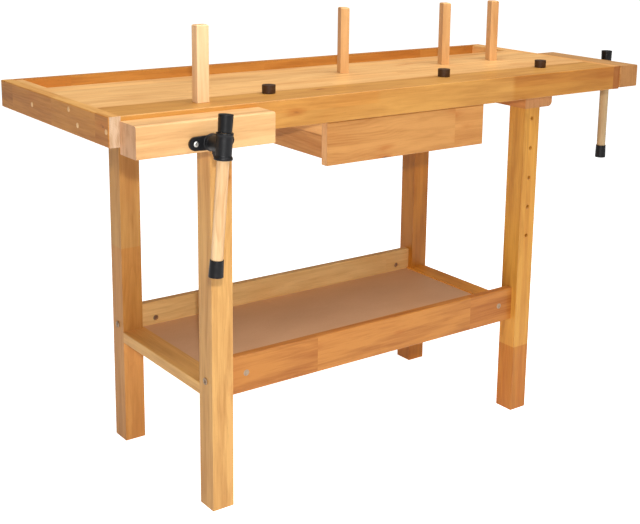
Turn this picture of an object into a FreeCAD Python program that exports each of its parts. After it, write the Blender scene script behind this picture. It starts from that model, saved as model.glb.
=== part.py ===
"""Woodworking bench with a front vise, a tail vise, a drawer and a lower shelf.

Bench frame while the parts are built: X runs along the bench from the outer face of the left end cap,
Y from the front face of the top to the back, Z up from the floor. The last step moves every part so
that the origin is on the floor under the middle of the whole bench. All sizes are in millimetres.
"""
import FreeCAD, Part
import math
import os

V = FreeCAD.Vector

# ---- Bench top ---------------------------------------------------------------------------------------
WORK_HEIGHT = 860.0          # floor to the bench top
TOP_LENGTH = 1380.0          # over both end caps
TOP_DEPTH = 520.0            # front face to the back of the rear rail
EDGE_HEIGHT = 57.0           # height of the beams, end caps and rear rail
END_CAP_THICKNESS = 24.0
FRONT_BEAM_DEPTH = 100.0     # the heavy front strip that carries the dog holes
BACK_BEAM_DEPTH = 56.0       # the strip between the panel and the tool tray
PANEL_THICKNESS = 30.0
BATTEN_THICKNESS = 20.0      # strips under the ends of the panel
RAIL_THICKNESS = 20.0        # rear rail behind the tray
TRAY_WIDTH = 130.0           # clear width of the tool tray, front to back
TRAY_DEPTH = 45.0            # bench top down to the tray floor
TRAY_BLOCK_THICKNESS = 16.0  # blocks that close the ends of the tray
TRAY_FLOOR_THICKNESS = 5.0
GROOVE_DEPTH = 8.0           # grooves that hold the tray floor and the shelf
EASE = 1.5                   # bevel on the exposed edges of the boards

# ---- Underframe --------------------------------------------------------------------------------------
FRAME_LEFT = 227.0           # outer face of the left legs, from the left end of the top
FRAME_RIGHT = 244.0          # outer face of the right legs, from the right end of the top
FRAME_SETBACK = 35.0         # front of the legs behind the front of the top
FRAME_DEPTH = 454.0          # over the front and back legs
LEG_WIDTH = 49.0             # along the bench
LEG_DEPTH = 52.0             # front to back
BEARER_WIDTH = 90.0
BEARER_HEIGHT = 31.0
BEARER_ROUND = 12.0          # rounding on the outer lower edge of a bearer
LEG_TENON_SHOULDER = 10.0
LEG_TENON_LENGTH = 18.0
SHELF_RAIL_HEIGHT = 243.0    # floor to the underside of the side rails
SIDE_RAIL_WIDTH = 62.0
SIDE_RAIL_THICKNESS = 26.0
SIDE_TENON_LENGTH = 16.0
SIDE_TENON_SHOULDER = 6.0
STRETCHER_BOTTOM = 239.0
STRETCHER_HEIGHT = 82.0
STRETCHER_THICKNESS = 20.0
SHELF_THICKNESS = 5.0
SHELF_DROP = 3.0             # shelf surface below the top of the side rails
LEG_HOLE_RADIUS = 5.0        # holes for a work support in the front right leg
LEG_HOLE_FIRST = 455.0       # floor to the lowest hole
LEG_HOLE_PITCH = 73.0
LEG_HOLE_COUNT = 5

# ---- Fasteners ---------------------------------------------------------------------------------------
SCREW_LENGTH = 35.0
SCREW_SHANK_RADIUS = 2.0
SCREW_HEAD_RADIUS = 4.0
PLUG_RADIUS = 5.0
PLUG_DEPTH = 8.0
FRONT_PLUG_Y = 10.0          # from the front of the top
LEFT_BATTEN_SCREW_INSET = 33.0    # behind the front beam
RIGHT_BATTEN_SCREW_INSET = 85.0
BATTEN_SCREW_DROP = 6.0      # below the underside of the panel
PANEL_SCREW_INSET = 72.0
PANEL_SCREW_DROP = 11.0      # below the bench top
BACK_SCREW_INSET = 18.0      # in front of the tray
BOLT_RADIUS = 4.0            # bolts between the legs and the stretchers
BOLT_HEAD_RADIUS = 7.5
BOLT_HEAD_HEIGHT = 2.5
BARREL_RADIUS = 7.0          # cross dowels that the frame bolts screw into
BARREL_INSET = 42.0          # leg face to the middle of the cross dowel
BEARER_BOLT_RADIUS = 3.0
BEARER_BOLT_HEAD_RADIUS = 6.0
BEARER_BOLT_HEAD_HEIGHT = 4.0
BEARER_BOLT_GRIP = 30.0      # how far a bearer bolt runs up into the top
BEARER_BOLT_EDGE = 14.0      # from the outer edge of the bearer
FRONT_BEARER_BOLT_Y = 60.0   # from the front of the top

# ---- Drawer ------------------------------------------------------------------------------------------
DRAWER_INSET = 208.0         # left end of the drawer front, from the left legs
DRAWER_WIDTH = 437.0
DRAWER_FRONT_SETBACK = 3.0   # drawer front behind the front of the top
DRAWER_FRONT_THICKNESS = 20.0
DRAWER_FRONT_HEIGHT = 91.0
DRAWER_HEADROOM = 1.0        # drawer front below the top
DRAWER_BACK_MARGIN = 10.0    # back of the box in front of the tray
DRAWER_BOX_HEIGHT = 83.0
DRAWER_BOX_DROP = 3.0        # top of the box below the underside of the top
DRAWER_WALL = 12.0
DRAWER_FLOOR_THICKNESS = 4.0
DRAWER_FLOOR_LIFT = 6.0      # underside of the floor above the bottom of the sides
DRAWER_GROOVE = 5.0
RUNNER_WALL = 9.0
RUNNER_LEDGE = 10.0
RUNNER_HEIGHT = 30.0
RUNNER_LIP_HEIGHT = 14.0
RUNNER_SCREW_INSETS = (20.0, 70.0)    # from the front ends of the runners
RUNNER_BACK_MARGIN = 4.0     # runner ends in front of the tray

# ---- Vises -------------------------------------------------------------------------------------------
JAW_THICKNESS = 62.0
JAW_ROUND = 5.0
VISE_TRAVEL = 126.25         # full opening
VISE_SCREW_RADIUS = 9.0
VISE_SCREW_SPARE = 15.0      # screw beyond the face of the nut when the vise is open
VISE_SCREW_BEVEL = 3.0
ROD_RADIUS = 8.0
ROD_SOCKET = 45.0            # depth of a guide rod in the jaw
ROD_SPARE = 2.0              # guide rod beyond the wood when the vise is open
COLLAR_RADIUS = 13.0         # collar that traps the screw behind the flange
COLLAR_WIDTH = 5.0
FLANGE_THICKNESS = 6.0
FLANGE_RADIUS = 20.0
FLANGE_EAR_RADIUS = 13.0
FLANGE_EAR_OFFSET = 34.0
FLANGE_BOSS_RADIUS = 17.5
FLANGE_BOSS_HEIGHT = 6.0
FLANGE_BOSS_TAPER = 1.0
FLANGE_SCREW_RADIUS = 2.5
FLANGE_SCREW_HEAD = 5.5
FLANGE_SCREW_DOME = 3.0
FLANGE_SCREW_LENGTH = 30.0
HUB_REACH = 47.6             # jaw front to the middle of the hub
HUB_NECK_RADIUS = 16.0
HUB_RADIUS = 15.0
HUB_RIM_RADIUS = 16.2
HUB_FLARE_RADIUS = 17.5      # at the lower end of the hub
HUB_RIM_WIDTH = 5.0
HUB_LENGTH = 50.0
HUB_RIM_SLOPE = 3.0
HUB_WALL = 4.0               # between the handle and the end of the screw
NUT_PLATE_WIDTH = 72.0
NUT_PLATE_THICKNESS = 6.0
NUT_PLATE_BELOW = 5.0        # plate below the screw axis
NUT_PLATE_ABOVE = 18.0
NUT_PLATE_BEVEL = 4.0
NUT_BARREL_RADIUS = 12.0
NUT_LENGTH = 26.0
NUT_SCREW_OFFSET = 28.0
HANDLE_RADIUS = 11.5
CAP_LENGTH = 33.0
CAP_MOUTH_RADIUS = 13.0
CAP_END_RADIUS = 14.0
CAP_SOCKET = 26.0
CAP_BEVEL = 3.0

FRONT_VISE_X = 172.4         # screw of the front vise, from the left end of the top
FRONT_JAW_LEFT = 22.0        # from the left end of the top
FRONT_JAW_WIDTH = 292.0
FRONT_JAW_DROP = 9.0         # jaw top below the bench top
FRONT_JAW_HEIGHT = 61.0
FRONT_SCREW_DROP = 52.0
FRONT_ROD_DROP = 39.0
FRONT_ROD_OFFSET = 100.0
FRONT_HANDLE_LENGTH = 303.0
FRONT_HANDLE_TILT = 4.5      # degrees from upright
FRONT_NUT_SIDE = 1           # nut plate above the screw

TAIL_VISE_Y = 141.0          # screw of the tail vise, from the front of the top
TAIL_JAW_WIDTH = 288.0
TAIL_JAW_DROP = 0.0
TAIL_JAW_HEIGHT = 54.0
TAIL_SCREW_DROP = 42.0
TAIL_ROD_DROP = 42.0
TAIL_ROD_OFFSET = 85.0
TAIL_HANDLE_LENGTH = 287.0
TAIL_HANDLE_TILT = 0.0
TAIL_NUT_SIDE = -1           # nut plate below the screw

# ---- Dogs and pegs -----------------------------------------------------------------------------------
DOG_HOLE_RADIUS = 9.05
DOG_ROW_INSET = 18.0         # dog holes in front of the back of the front beam
FIRST_DOG_X = 392.0
SECOND_DOG_X = 866.0
LAST_DOG_INSET = 201.0       # from the right end of the top
DOG_HEAD_RADIUS = 14.0
DOG_HEAD_HEIGHT = 17.5
DOG_SHANK_LENGTH = 40.0
DOG_BEVEL = 1.5
PEG_WIDTH = 26.0
PEG_DEPTH = 20.0
PEG_HEIGHT = 150.0
PEG_SHANK_LENGTH = 34.0
PEG_BEVEL = 2.0
FRONT_PEG_X = 221.5          # peg in the front beam
FRONT_PEG_Y = 59.0
PEG_ROW_INSET = 67.0         # row of pegs in front of the back beam
PEG_ROW_FIRST_X = 701.0
PEG_ROW_INSETS = (371.0, 210.0)       # the other pegs of the row, from the right end of the top
PEG_ROW_TURN = 71.0          # degrees that the pegs of the row are turned from square

# ---- Clearances --------------------------------------------------------------------------------------
FIT = 0.05                   # radial clearance of pins, bolts, screws and guide rods
HANDLE_FIT = 0.08            # radial clearance of the handle in its hub
GAP = 0.3                    # between pieces that move past each other
JAW_GAP = 0.4                # between a closed jaw and the bench
SCREW_CLEARANCE = 1.0        # radial, where a vise screw passes through wood

# ---- Facets ------------------------------------------------------------------------------------------
TURNED_SIDES = 18            # flat sides of a small turned part
FASTENER_SIDES = 8           # flat sides of a screw, bolt, plug or cross dowel
EAR_STEPS = 8                # flats round an ear of a flange

# ---- Levels and lines that the parts share -----------------------------------------------------------
EDGE_BOTTOM = WORK_HEIGHT - EDGE_HEIGHT
EDGE_Z = (EDGE_BOTTOM, WORK_HEIGHT)
PANEL_BOTTOM = WORK_HEIGHT - PANEL_THICKNESS
INNER_X = (END_CAP_THICKNESS, TOP_LENGTH - END_CAP_THICKNESS)
TOP_MID_X = TOP_LENGTH / 2
RAIL_FRONT = TOP_DEPTH - RAIL_THICKNESS
TRAY_FRONT = RAIL_FRONT - TRAY_WIDTH
BACK_BEAM_FRONT = TRAY_FRONT - BACK_BEAM_DEPTH
TRAY_FLOOR_Z = (WORK_HEIGHT - TRAY_DEPTH - TRAY_FLOOR_THICKNESS, WORK_HEIGHT - TRAY_DEPTH)

LEG_TOP = EDGE_BOTTOM - BEARER_HEIGHT
LEG_X = (FRAME_LEFT, FRAME_LEFT + LEG_WIDTH)
LEG_Y = (FRAME_SETBACK, FRAME_SETBACK + LEG_DEPTH)
LEG_MID_Y = FRAME_SETBACK + LEG_DEPTH / 2
FRAME_MID_X = (FRAME_LEFT + TOP_LENGTH - FRAME_RIGHT) / 2
FRAME_MID_Y = FRAME_SETBACK + FRAME_DEPTH / 2
RAIL_INNER_X = FRAME_LEFT + SIDE_RAIL_WIDTH
RAIL_TOP = SHELF_RAIL_HEIGHT + SIDE_RAIL_THICKNESS
SHELF_Z = (RAIL_TOP - SHELF_DROP - SHELF_THICKNESS, RAIL_TOP - SHELF_DROP)
STRETCHER_Y = (LEG_MID_Y - STRETCHER_THICKNESS / 2, LEG_MID_Y + STRETCHER_THICKNESS / 2)
BOLT_HEIGHT = STRETCHER_BOTTOM + STRETCHER_HEIGHT / 2 + 1.0

DRAWER_LEFT = LEG_X[1] + DRAWER_INSET
DRAWER_MID_X = DRAWER_LEFT + DRAWER_WIDTH / 2
DRAWER_FRONT_Y = (DRAWER_FRONT_SETBACK, DRAWER_FRONT_SETBACK + DRAWER_FRONT_THICKNESS)
DRAWER_SIDE_X = (
    DRAWER_LEFT + RUNNER_WALL + RUNNER_LEDGE + 2 * GAP,
    DRAWER_LEFT + RUNNER_WALL + RUNNER_LEDGE + 2 * GAP + DRAWER_WALL,
)
DRAWER_BOX_TOP = EDGE_BOTTOM - DRAWER_BOX_DROP
DRAWER_BOX_Z = (DRAWER_BOX_TOP - DRAWER_BOX_HEIGHT, DRAWER_BOX_TOP)
DRAWER_BACK = TRAY_FRONT - DRAWER_BACK_MARGIN
LEDGE_TOP = EDGE_BOTTOM - RUNNER_HEIGHT + RUNNER_LIP_HEIGHT

DOG_ROW_Y = FRONT_BEAM_DEPTH - DOG_ROW_INSET
DOG_X = (FIRST_DOG_X, SECOND_DOG_X, TOP_LENGTH - LAST_DOG_INSET)
PEG_ROW_Y = BACK_BEAM_FRONT - PEG_ROW_INSET
PEG_ROW_X = (PEG_ROW_FIRST_X, *[TOP_LENGTH - inset for inset in PEG_ROW_INSETS])


# ---- Shapes ------------------------------------------------------------------------------------------
def block(x, y, z):
    """Rectangular solid between the (low, high) pairs x, y and z."""
    return Part.makeBox(x[1] - x[0], y[1] - y[0], z[1] - z[0], V(x[0], y[0], z[0]))


def pin(radius, start, direction, length):
    """Plain round bar from a start point along a direction."""
    return Part.makeCylinder(radius, length, V(*start), V(*direction))


def turned(profile, start, direction, sides=TURNED_SIDES):
    """Turned solid with flat sides.

    The profile is a list of (radius, distance along the axis) pairs that begins and ends on the axis.
    """
    spokes = [(math.cos(math.tau * side / sides), math.sin(math.tau * side / sides)) for side in range(sides)]
    rings = [[V(radius * x, radius * y, height) for x, y in spokes] for radius, height in profile]
    faces = [Part.Face(Part.makePolygon(ring + ring[:1])) for ring in (rings[1], rings[-2])]
    for low, high in zip(rings[1:-2], rings[2:-1]):
        for side in range(sides):
            corners = [low[side - 1], low[side], high[side], high[side - 1], low[side - 1]]
            faces.append(Part.Face(Part.makePolygon(corners)))
    solid = Part.makeSolid(Part.makeShell(faces))
    if solid.Volume < 0:
        solid.reverse()
    solid.Placement = FreeCAD.Placement(V(*start), FreeCAD.Rotation(V(0, 0, 1), V(*direction)))
    return solid


def prism(radius, start, direction, length, sides=TURNED_SIDES):
    """Straight bar with flat sides from a start point along a direction."""
    return turned(((0, 0), (radius, 0), (radius, length), (0, length)), start, direction, sides)


def lies_on(edge, line):
    """True where every end of the edge has the coordinates that the line gives."""
    ends = [vertex.Point for vertex in edge.Vertexes]
    return all(abs(getattr(end, axis) - value) < 1e-6 for end in ends for axis, value in line.items())


def bore(radius, start, direction, length):
    """Flat-sided cutter that just clears a round bar of the radius."""
    return prism(radius / math.cos(math.pi / TURNED_SIDES), start, direction, length)


def edges_on(shape, lines):
    """The edges of the shape that lie on one of the lines."""
    return [edge for edge in shape.Edges if any(lies_on(edge, line) for line in lines)]


def rounded(shape, radius, *lines):
    """The shape with a rounding along each edge that lies on one of the lines."""
    return shape.makeFillet(radius, edges_on(shape, lines))


def bevelled(shape, size, *lines):
    """The shape with a bevel along each edge that lies on one of the lines."""
    return shape.makeChamfer(size, edges_on(shape, lines))


def mirrored_x(shape, middle):
    """Mirror image on the other side of the plane x = middle."""
    return shape.mirror(V(middle, 0, 0), V(1, 0, 0))


def mirrored_y(shape, middle):
    """Mirror image on the other side of the plane y = middle."""
    return shape.mirror(V(0, middle, 0), V(0, 1, 0))


def drill(parts, names, cutters):
    """Cut every hole out of each named part that it reaches."""
    for name in names:
        for cutter in cutters:
            if parts[name].BoundBox.intersect(cutter.BoundBox):
                parts[name] = parts[name].cut(cutter)


# ---- Fasteners ---------------------------------------------------------------------------------------
def wood_screw(start, direction, spare=0.0):
    """Countersunk screw with its head's face at the start point; spare widens it into its own hole."""
    profile = (
        (0, 0),
        (SCREW_HEAD_RADIUS + spare, 0),
        (SCREW_SHANK_RADIUS + spare, SCREW_HEAD_RADIUS - SCREW_SHANK_RADIUS),
        (SCREW_SHANK_RADIUS + spare, SCREW_LENGTH),
        (0, SCREW_LENGTH),
    )
    return turned(profile, start, direction, FASTENER_SIDES)


def headed_bolt(radius, head_radius, head_height, length, start, direction, spare=0.0):
    """Bolt with the underside of its flat round head at the start point."""
    profile = (
        (0, -head_height),
        (head_radius + spare, -head_height),
        (head_radius + spare, 0),
        (radius + spare, 0),
        (radius + spare, length),
        (0, length),
    )
    return turned(profile, start, direction, FASTENER_SIDES)


# ---- Bench top ---------------------------------------------------------------------------------------
def front_beam():
    """Heavy front strip with the dog holes, one peg hole and a channel for a tail guide rod."""
    beam = block(INNER_X, (0, FRONT_BEAM_DEPTH), EDGE_Z)
    beam = bevelled(beam, EASE, {"y": 0, "z": EDGE_BOTTOM}, {"y": 0, "z": WORK_HEIGHT})
    for x in DOG_X:
        beam = beam.cut(pin(DOG_HOLE_RADIUS, (x, DOG_ROW_Y, EDGE_BOTTOM), (0, 0, 1), EDGE_HEIGHT))
    return beam.cut(pin(DOG_HOLE_RADIUS, (FRONT_PEG_X, FRONT_PEG_Y, EDGE_BOTTOM), (0, 0, 1), EDGE_HEIGHT))


def back_beam():
    """Strip behind the panel, grooved along its back for the tray floor."""
    beam = block(INNER_X, (BACK_BEAM_FRONT, TRAY_FRONT), EDGE_Z)
    return beam.cut(tray_floor())


def top_panel():
    """Glued panel between the beams, with three peg holes."""
    panel = block(INNER_X, (FRONT_BEAM_DEPTH, BACK_BEAM_FRONT), (PANEL_BOTTOM, WORK_HEIGHT))
    for x in PEG_ROW_X:
        panel = panel.cut(pin(DOG_HOLE_RADIUS, (x, PEG_ROW_Y, PANEL_BOTTOM), (0, 0, 1), PANEL_THICKNESS))
    return panel


def end_batten_left():
    """Strip under the left end of the panel, level with the underside of the beams."""
    x = (END_CAP_THICKNESS, END_CAP_THICKNESS + BATTEN_THICKNESS)
    return block(x, (FRONT_BEAM_DEPTH, BACK_BEAM_FRONT), (EDGE_BOTTOM, PANEL_BOTTOM))


def end_cap_left():
    """Board across the left end of the top, bevelled round its outer face."""
    cap = block((0, END_CAP_THICKNESS), (0, TOP_DEPTH), EDGE_Z)
    sides = [{"x": 0, "y": y} for y in (0, TOP_DEPTH)]
    return bevelled(cap, EASE, *sides, *[{"x": 0, "z": z} for z in EDGE_Z])


def rear_rail():
    """Board behind the tool tray, level with the bench top."""
    rail = block(INNER_X, (RAIL_FRONT, TOP_DEPTH), EDGE_Z)
    rail = bevelled(rail, EASE, {"y": TOP_DEPTH, "z": WORK_HEIGHT}, {"y": TOP_DEPTH, "z": EDGE_BOTTOM})
    return rail.cut(tray_floor())


def tray_end_left():
    """Block that closes the left end of the tool tray."""
    x = (END_CAP_THICKNESS, END_CAP_THICKNESS + TRAY_BLOCK_THICKNESS)
    return block(x, (TRAY_FRONT, RAIL_FRONT), EDGE_Z).cut(tray_floor())


def tray_floor():
    """Thin floor of the tool tray, held in grooves on all four sides."""
    inset = END_CAP_THICKNESS + TRAY_BLOCK_THICKNESS - GROOVE_DEPTH
    y = (TRAY_FRONT - GROOVE_DEPTH, RAIL_FRONT + GROOVE_DEPTH)
    return block((inset, TOP_LENGTH - inset), y, TRAY_FLOOR_Z)


def cap_screw_places(batten_inset):
    """(y, z) of the screws through an end cap: front beam, batten, panel and back beam."""
    return (
        (FRONT_PLUG_Y, WORK_HEIGHT - EDGE_HEIGHT / 2),
        (FRONT_BEAM_DEPTH + batten_inset, PANEL_BOTTOM - BATTEN_SCREW_DROP),
        (FRONT_BEAM_DEPTH + PANEL_SCREW_INSET, WORK_HEIGHT - PANEL_SCREW_DROP),
        (TRAY_FRONT - BACK_SCREW_INSET, WORK_HEIGHT - EDGE_HEIGHT / 2),
    )


def cap_screw_frames():
    """(point on the outer face, inward direction) of every screw through the end caps."""
    left = [((0, y, z), (1, 0, 0)) for y, z in cap_screw_places(LEFT_BATTEN_SCREW_INSET)]
    right = [((TOP_LENGTH, y, z), (-1, 0, 0)) for y, z in cap_screw_places(RIGHT_BATTEN_SCREW_INSET)]
    return left + right


def cap_plugs(spare):
    """Plugs over the screws of the end caps; spare widens them into their own holes."""
    return [prism(PLUG_RADIUS + spare, *frame, PLUG_DEPTH, FASTENER_SIDES) for frame in cap_screw_frames()]


def along(point, direction, distance):
    """The point moved along a direction."""
    return tuple(p + d * distance for p, d in zip(point, direction))


def bench_top():
    """Every part of the bench top, undrilled for the vises."""
    left = {
        "end_batten_left": end_batten_left(),
        "end_cap_left": end_cap_left(),
        "tray_end_left": tray_end_left(),
    }
    parts = {
        "front_beam": front_beam(),
        "back_beam": back_beam(),
        "top_panel": top_panel(),
        "rear_rail": rear_rail(),
        "tray_bottom": tray_floor(),
    }
    for name, shape in left.items():
        parts[name] = shape
        parts[name.replace("left", "right")] = mirrored_x(shape, TOP_MID_X)
    drill(parts, ("end_cap_left", "end_cap_right"), cap_plugs(FIT))
    parts["end_cap_plugs"] = Part.makeCompound(cap_plugs(0.0))
    return parts


# ---- Underframe --------------------------------------------------------------------------------------
def leg_tenon():
    """Stub at the head of the front left leg."""
    x = (LEG_X[0] + LEG_TENON_SHOULDER, LEG_X[1] - LEG_TENON_SHOULDER)
    y = (LEG_Y[0] + LEG_TENON_SHOULDER, LEG_Y[1] - LEG_TENON_SHOULDER)
    return block(x, y, (LEG_TOP, LEG_TOP + LEG_TENON_LENGTH))


def side_rail_tenon():
    """Stub at the front end of the left side rail."""
    x = (LEG_X[0] + SIDE_TENON_SHOULDER, LEG_X[1] - SIDE_TENON_SHOULDER)
    z = (SHELF_RAIL_HEIGHT + SIDE_TENON_SHOULDER, RAIL_TOP - SIDE_TENON_SHOULDER)
    return block(x, (LEG_Y[1] - SIDE_TENON_LENGTH, LEG_Y[1]), z)


def leg():
    """Front left leg with its head tenon and the mortise for the side rail."""
    return block(LEG_X, LEG_Y, (0, LEG_TOP)).fuse(leg_tenon()).cut(side_rail_tenon())


def bearer():
    """Left cross piece on top of the legs, rounded under its outer end, with two mortises."""
    x = (LEG_X[1] - BEARER_WIDTH, LEG_X[1])
    y = (FRAME_SETBACK, FRAME_SETBACK + FRAME_DEPTH)
    beam = rounded(block(x, y, (LEG_TOP, EDGE_BOTTOM)), BEARER_ROUND, {"x": x[0], "z": LEG_TOP})
    return beam.cut(leg_tenon()).cut(mirrored_y(leg_tenon(), FRAME_MID_Y))


def side_rail():
    """Left side rail, laid flat, wider than the legs, tenoned into them and rebated for the shelf."""
    leg_back = 2 * FRAME_MID_Y - LEG_Y[1]
    between = (STRETCHER_Y[1], 2 * FRAME_MID_Y - STRETCHER_Y[1])
    z = (SHELF_RAIL_HEIGHT, RAIL_TOP)
    rail = block((LEG_X[0], LEG_X[1]), (LEG_Y[1], leg_back), z)
    rail = bevelled(rail, EASE, {"x": LEG_X[0], "z": z[0]}, {"x": LEG_X[0], "z": z[1]})
    rail = rail.fuse(block((LEG_X[1], RAIL_INNER_X), between, z))
    rail = rail.fuse(side_rail_tenon()).fuse(mirrored_y(side_rail_tenon(), FRAME_MID_Y)).removeSplitter()
    return rail.cut(block((RAIL_INNER_X - GROOVE_DEPTH, RAIL_INNER_X), between, (SHELF_Z[0], RAIL_TOP)))


def shelf_panel():
    """Thin shelf in the rebates of the side rails and the grooves of the stretchers."""
    edge = RAIL_INNER_X - GROOVE_DEPTH
    front = STRETCHER_Y[1] - GROOVE_DEPTH
    return block((edge, 2 * FRAME_MID_X - edge), (front, 2 * FRAME_MID_Y - front), SHELF_Z)


def stretcher():
    """Front stretcher between the legs, grooved for the shelf, with its cross dowel holes."""
    x = (LEG_X[1], 2 * FRAME_MID_X - LEG_X[1])
    z = (STRETCHER_BOTTOM, STRETCHER_BOTTOM + STRETCHER_HEIGHT)
    edges = [{"y": y, "z": height} for y in STRETCHER_Y for height in z]
    board = bevelled(block(x, STRETCHER_Y, z), EASE, *edges)
    for hole in barrels_front(FIT):
        board = board.cut(hole)
    return board.cut(shelf_panel())


def barrels_front(spare=0.0):
    """The two cross dowels of the front stretcher, flush with both of its faces."""
    start = (LEG_X[1] + BARREL_INSET, STRETCHER_Y[0], BOLT_HEIGHT)
    left = prism(BARREL_RADIUS + spare, start, (0, 1, 0), STRETCHER_Y[1] - STRETCHER_Y[0], FASTENER_SIDES)
    return [left, mirrored_x(left, FRAME_MID_X)]


def frame_bolts(spare=0.0):
    """The four bolts that run through the legs into the cross dowels, heads on the outer faces."""
    reach = LEG_WIDTH + BARREL_INSET + BARREL_RADIUS + 3.0
    start = (LEG_X[0], LEG_MID_Y, BOLT_HEIGHT)
    bolt = headed_bolt(BOLT_RADIUS, BOLT_HEAD_RADIUS, BOLT_HEAD_HEIGHT, reach, start, (1, 0, 0), spare)
    front = [bolt, mirrored_x(bolt, FRAME_MID_X)]
    return front + [mirrored_y(shape, FRAME_MID_Y) for shape in front]


def bearer_bolts(spare=0.0):
    """The four bolts from the bearers up into the front and back beams, heads let into the bearers."""
    left = LEG_X[1] - BEARER_WIDTH + BEARER_BOLT_EDGE
    seat = LEG_TOP + BEARER_BOLT_HEAD_HEIGHT
    length = EDGE_BOTTOM - seat + BEARER_BOLT_GRIP
    bolts = []
    sizes = (BEARER_BOLT_RADIUS, BEARER_BOLT_HEAD_RADIUS, BEARER_BOLT_HEAD_HEIGHT)
    for y in (FRONT_BEARER_BOLT_Y, TRAY_FRONT - BACK_BEAM_DEPTH / 2):
        bolt = headed_bolt(*sizes, length, (left, y, seat), (0, 0, 1), spare)
        bolts += [bolt, mirrored_x(bolt, FRAME_MID_X)]
    return bolts


def leg_holes():
    """Holes through the front right leg, one above the other, for a work support."""
    x = 2 * FRAME_MID_X - (LEG_X[0] + LEG_X[1]) / 2
    heights = [LEG_HOLE_FIRST + LEG_HOLE_PITCH * step for step in range(LEG_HOLE_COUNT)]
    return [pin(LEG_HOLE_RADIUS, (x, LEG_Y[0], z), (0, 1, 0), LEG_Y[1] - LEG_Y[0]) for z in heights]


def underframe():
    """Legs, bearers, rails, stretchers and shelf with their bolts."""
    parts = {"shelf_panel": shelf_panel(), "stretcher_front": stretcher()}
    parts["stretcher_back"] = mirrored_y(parts["stretcher_front"], FRAME_MID_Y)
    parts["leg_front_left"] = leg()
    parts["leg_back_left"] = mirrored_y(parts["leg_front_left"], FRAME_MID_Y)
    parts["bearer_left"] = bearer()
    parts["side_rail_left"] = side_rail()
    for name in ("leg_front_left", "leg_back_left", "bearer_left", "side_rail_left"):
        parts[name.replace("left", "right")] = mirrored_x(parts[name], FRAME_MID_X)
    barrels = barrels_front()
    barrels += [mirrored_y(shape, FRAME_MID_Y) for shape in barrels]
    holes = Part.makeCompound(frame_bolts(FIT))
    parts["barrel_nuts"] = Part.makeCompound([barrel.cut(holes) for barrel in barrels])
    legs = [name for name in parts if name.startswith("leg_")]
    drill(parts, legs + ["stretcher_front", "stretcher_back"], frame_bolts(FIT))
    drill(parts, ("leg_front_right",), leg_holes())
    parts["frame_bolts"] = Part.makeCompound(frame_bolts())
    parts["bearer_bolts"] = Part.makeCompound(bearer_bolts())
    return parts


# ---- Drawer ------------------------------------------------------------------------------------------
def runner_left():
    """L-shaped runner under the top; its ledge carries the lip of the drawer side."""
    y = (DRAWER_FRONT_Y[1] + GAP, TRAY_FRONT - RUNNER_BACK_MARGIN)
    wall = block((DRAWER_LEFT, DRAWER_LEFT + RUNNER_WALL), y, (EDGE_BOTTOM - RUNNER_HEIGHT, EDGE_BOTTOM))
    ledge_x = (DRAWER_LEFT, DRAWER_LEFT + RUNNER_WALL + RUNNER_LEDGE)
    return wall.fuse(block(ledge_x, y, (EDGE_BOTTOM - RUNNER_HEIGHT, LEDGE_TOP))).removeSplitter()


def runner_screw_frames():
    """(start, direction) of the screws that hold both runners to the front and back beams."""
    xs = (DRAWER_LEFT + RUNNER_WALL / 2, 2 * DRAWER_MID_X - DRAWER_LEFT - RUNNER_WALL / 2)
    ys = [DRAWER_FRONT_Y[1] + inset for inset in RUNNER_SCREW_INSETS] + [TRAY_FRONT - BACK_BEAM_DEPTH / 2]
    return [((x, y, EDGE_BOTTOM - RUNNER_HEIGHT), (0, 0, 1)) for x in xs for y in ys]


def drawer_floor():
    """Thin drawer floor in the grooves of the front and the sides."""
    x = (DRAWER_SIDE_X[1] - DRAWER_GROOVE, 2 * DRAWER_MID_X - DRAWER_SIDE_X[1] + DRAWER_GROOVE)
    bottom = DRAWER_BOX_Z[0] + DRAWER_FLOOR_LIFT
    return block(x, (DRAWER_FRONT_Y[1] - DRAWER_GROOVE, DRAWER_BACK), (bottom, bottom + DRAWER_FLOOR_THICKNESS))


def drawer_side_left():
    """Left drawer side, housed in the front, with a lip that rides on the runner."""
    y = (DRAWER_FRONT_Y[1] - DRAWER_GROOVE, DRAWER_BACK)
    side = block(DRAWER_SIDE_X, y, DRAWER_BOX_Z)
    lip = block(
        (DRAWER_LEFT + RUNNER_WALL + GAP, DRAWER_SIDE_X[0]),
        (DRAWER_FRONT_Y[1], DRAWER_BACK),
        (LEDGE_TOP + GAP, DRAWER_BOX_TOP),
    )
    return side.fuse(lip).removeSplitter().cut(drawer_floor())


def drawer_back():
    """Board between the sides at the back, standing on the floor."""
    x = (DRAWER_SIDE_X[1], 2 * DRAWER_MID_X - DRAWER_SIDE_X[1])
    bottom = DRAWER_BOX_Z[0] + DRAWER_FLOOR_LIFT + DRAWER_FLOOR_THICKNESS
    return block(x, (DRAWER_BACK - DRAWER_WALL, DRAWER_BACK), (bottom, DRAWER_BOX_TOP))


def drawer_front(housed):
    """Drawer front with bevelled edges, cut out for the pieces housed in its back."""
    top = EDGE_BOTTOM - DRAWER_HEADROOM
    z = (top - DRAWER_FRONT_HEIGHT, top)
    x = (DRAWER_LEFT, DRAWER_LEFT + DRAWER_WIDTH)
    face = DRAWER_FRONT_Y[0]
    ends = [{"y": face, "x": end} for end in x]
    board = bevelled(block(x, DRAWER_FRONT_Y, z), EASE, *ends, *[{"y": face, "z": edge} for edge in z])
    for piece in housed:
        board = board.cut(piece)
    return board


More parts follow.
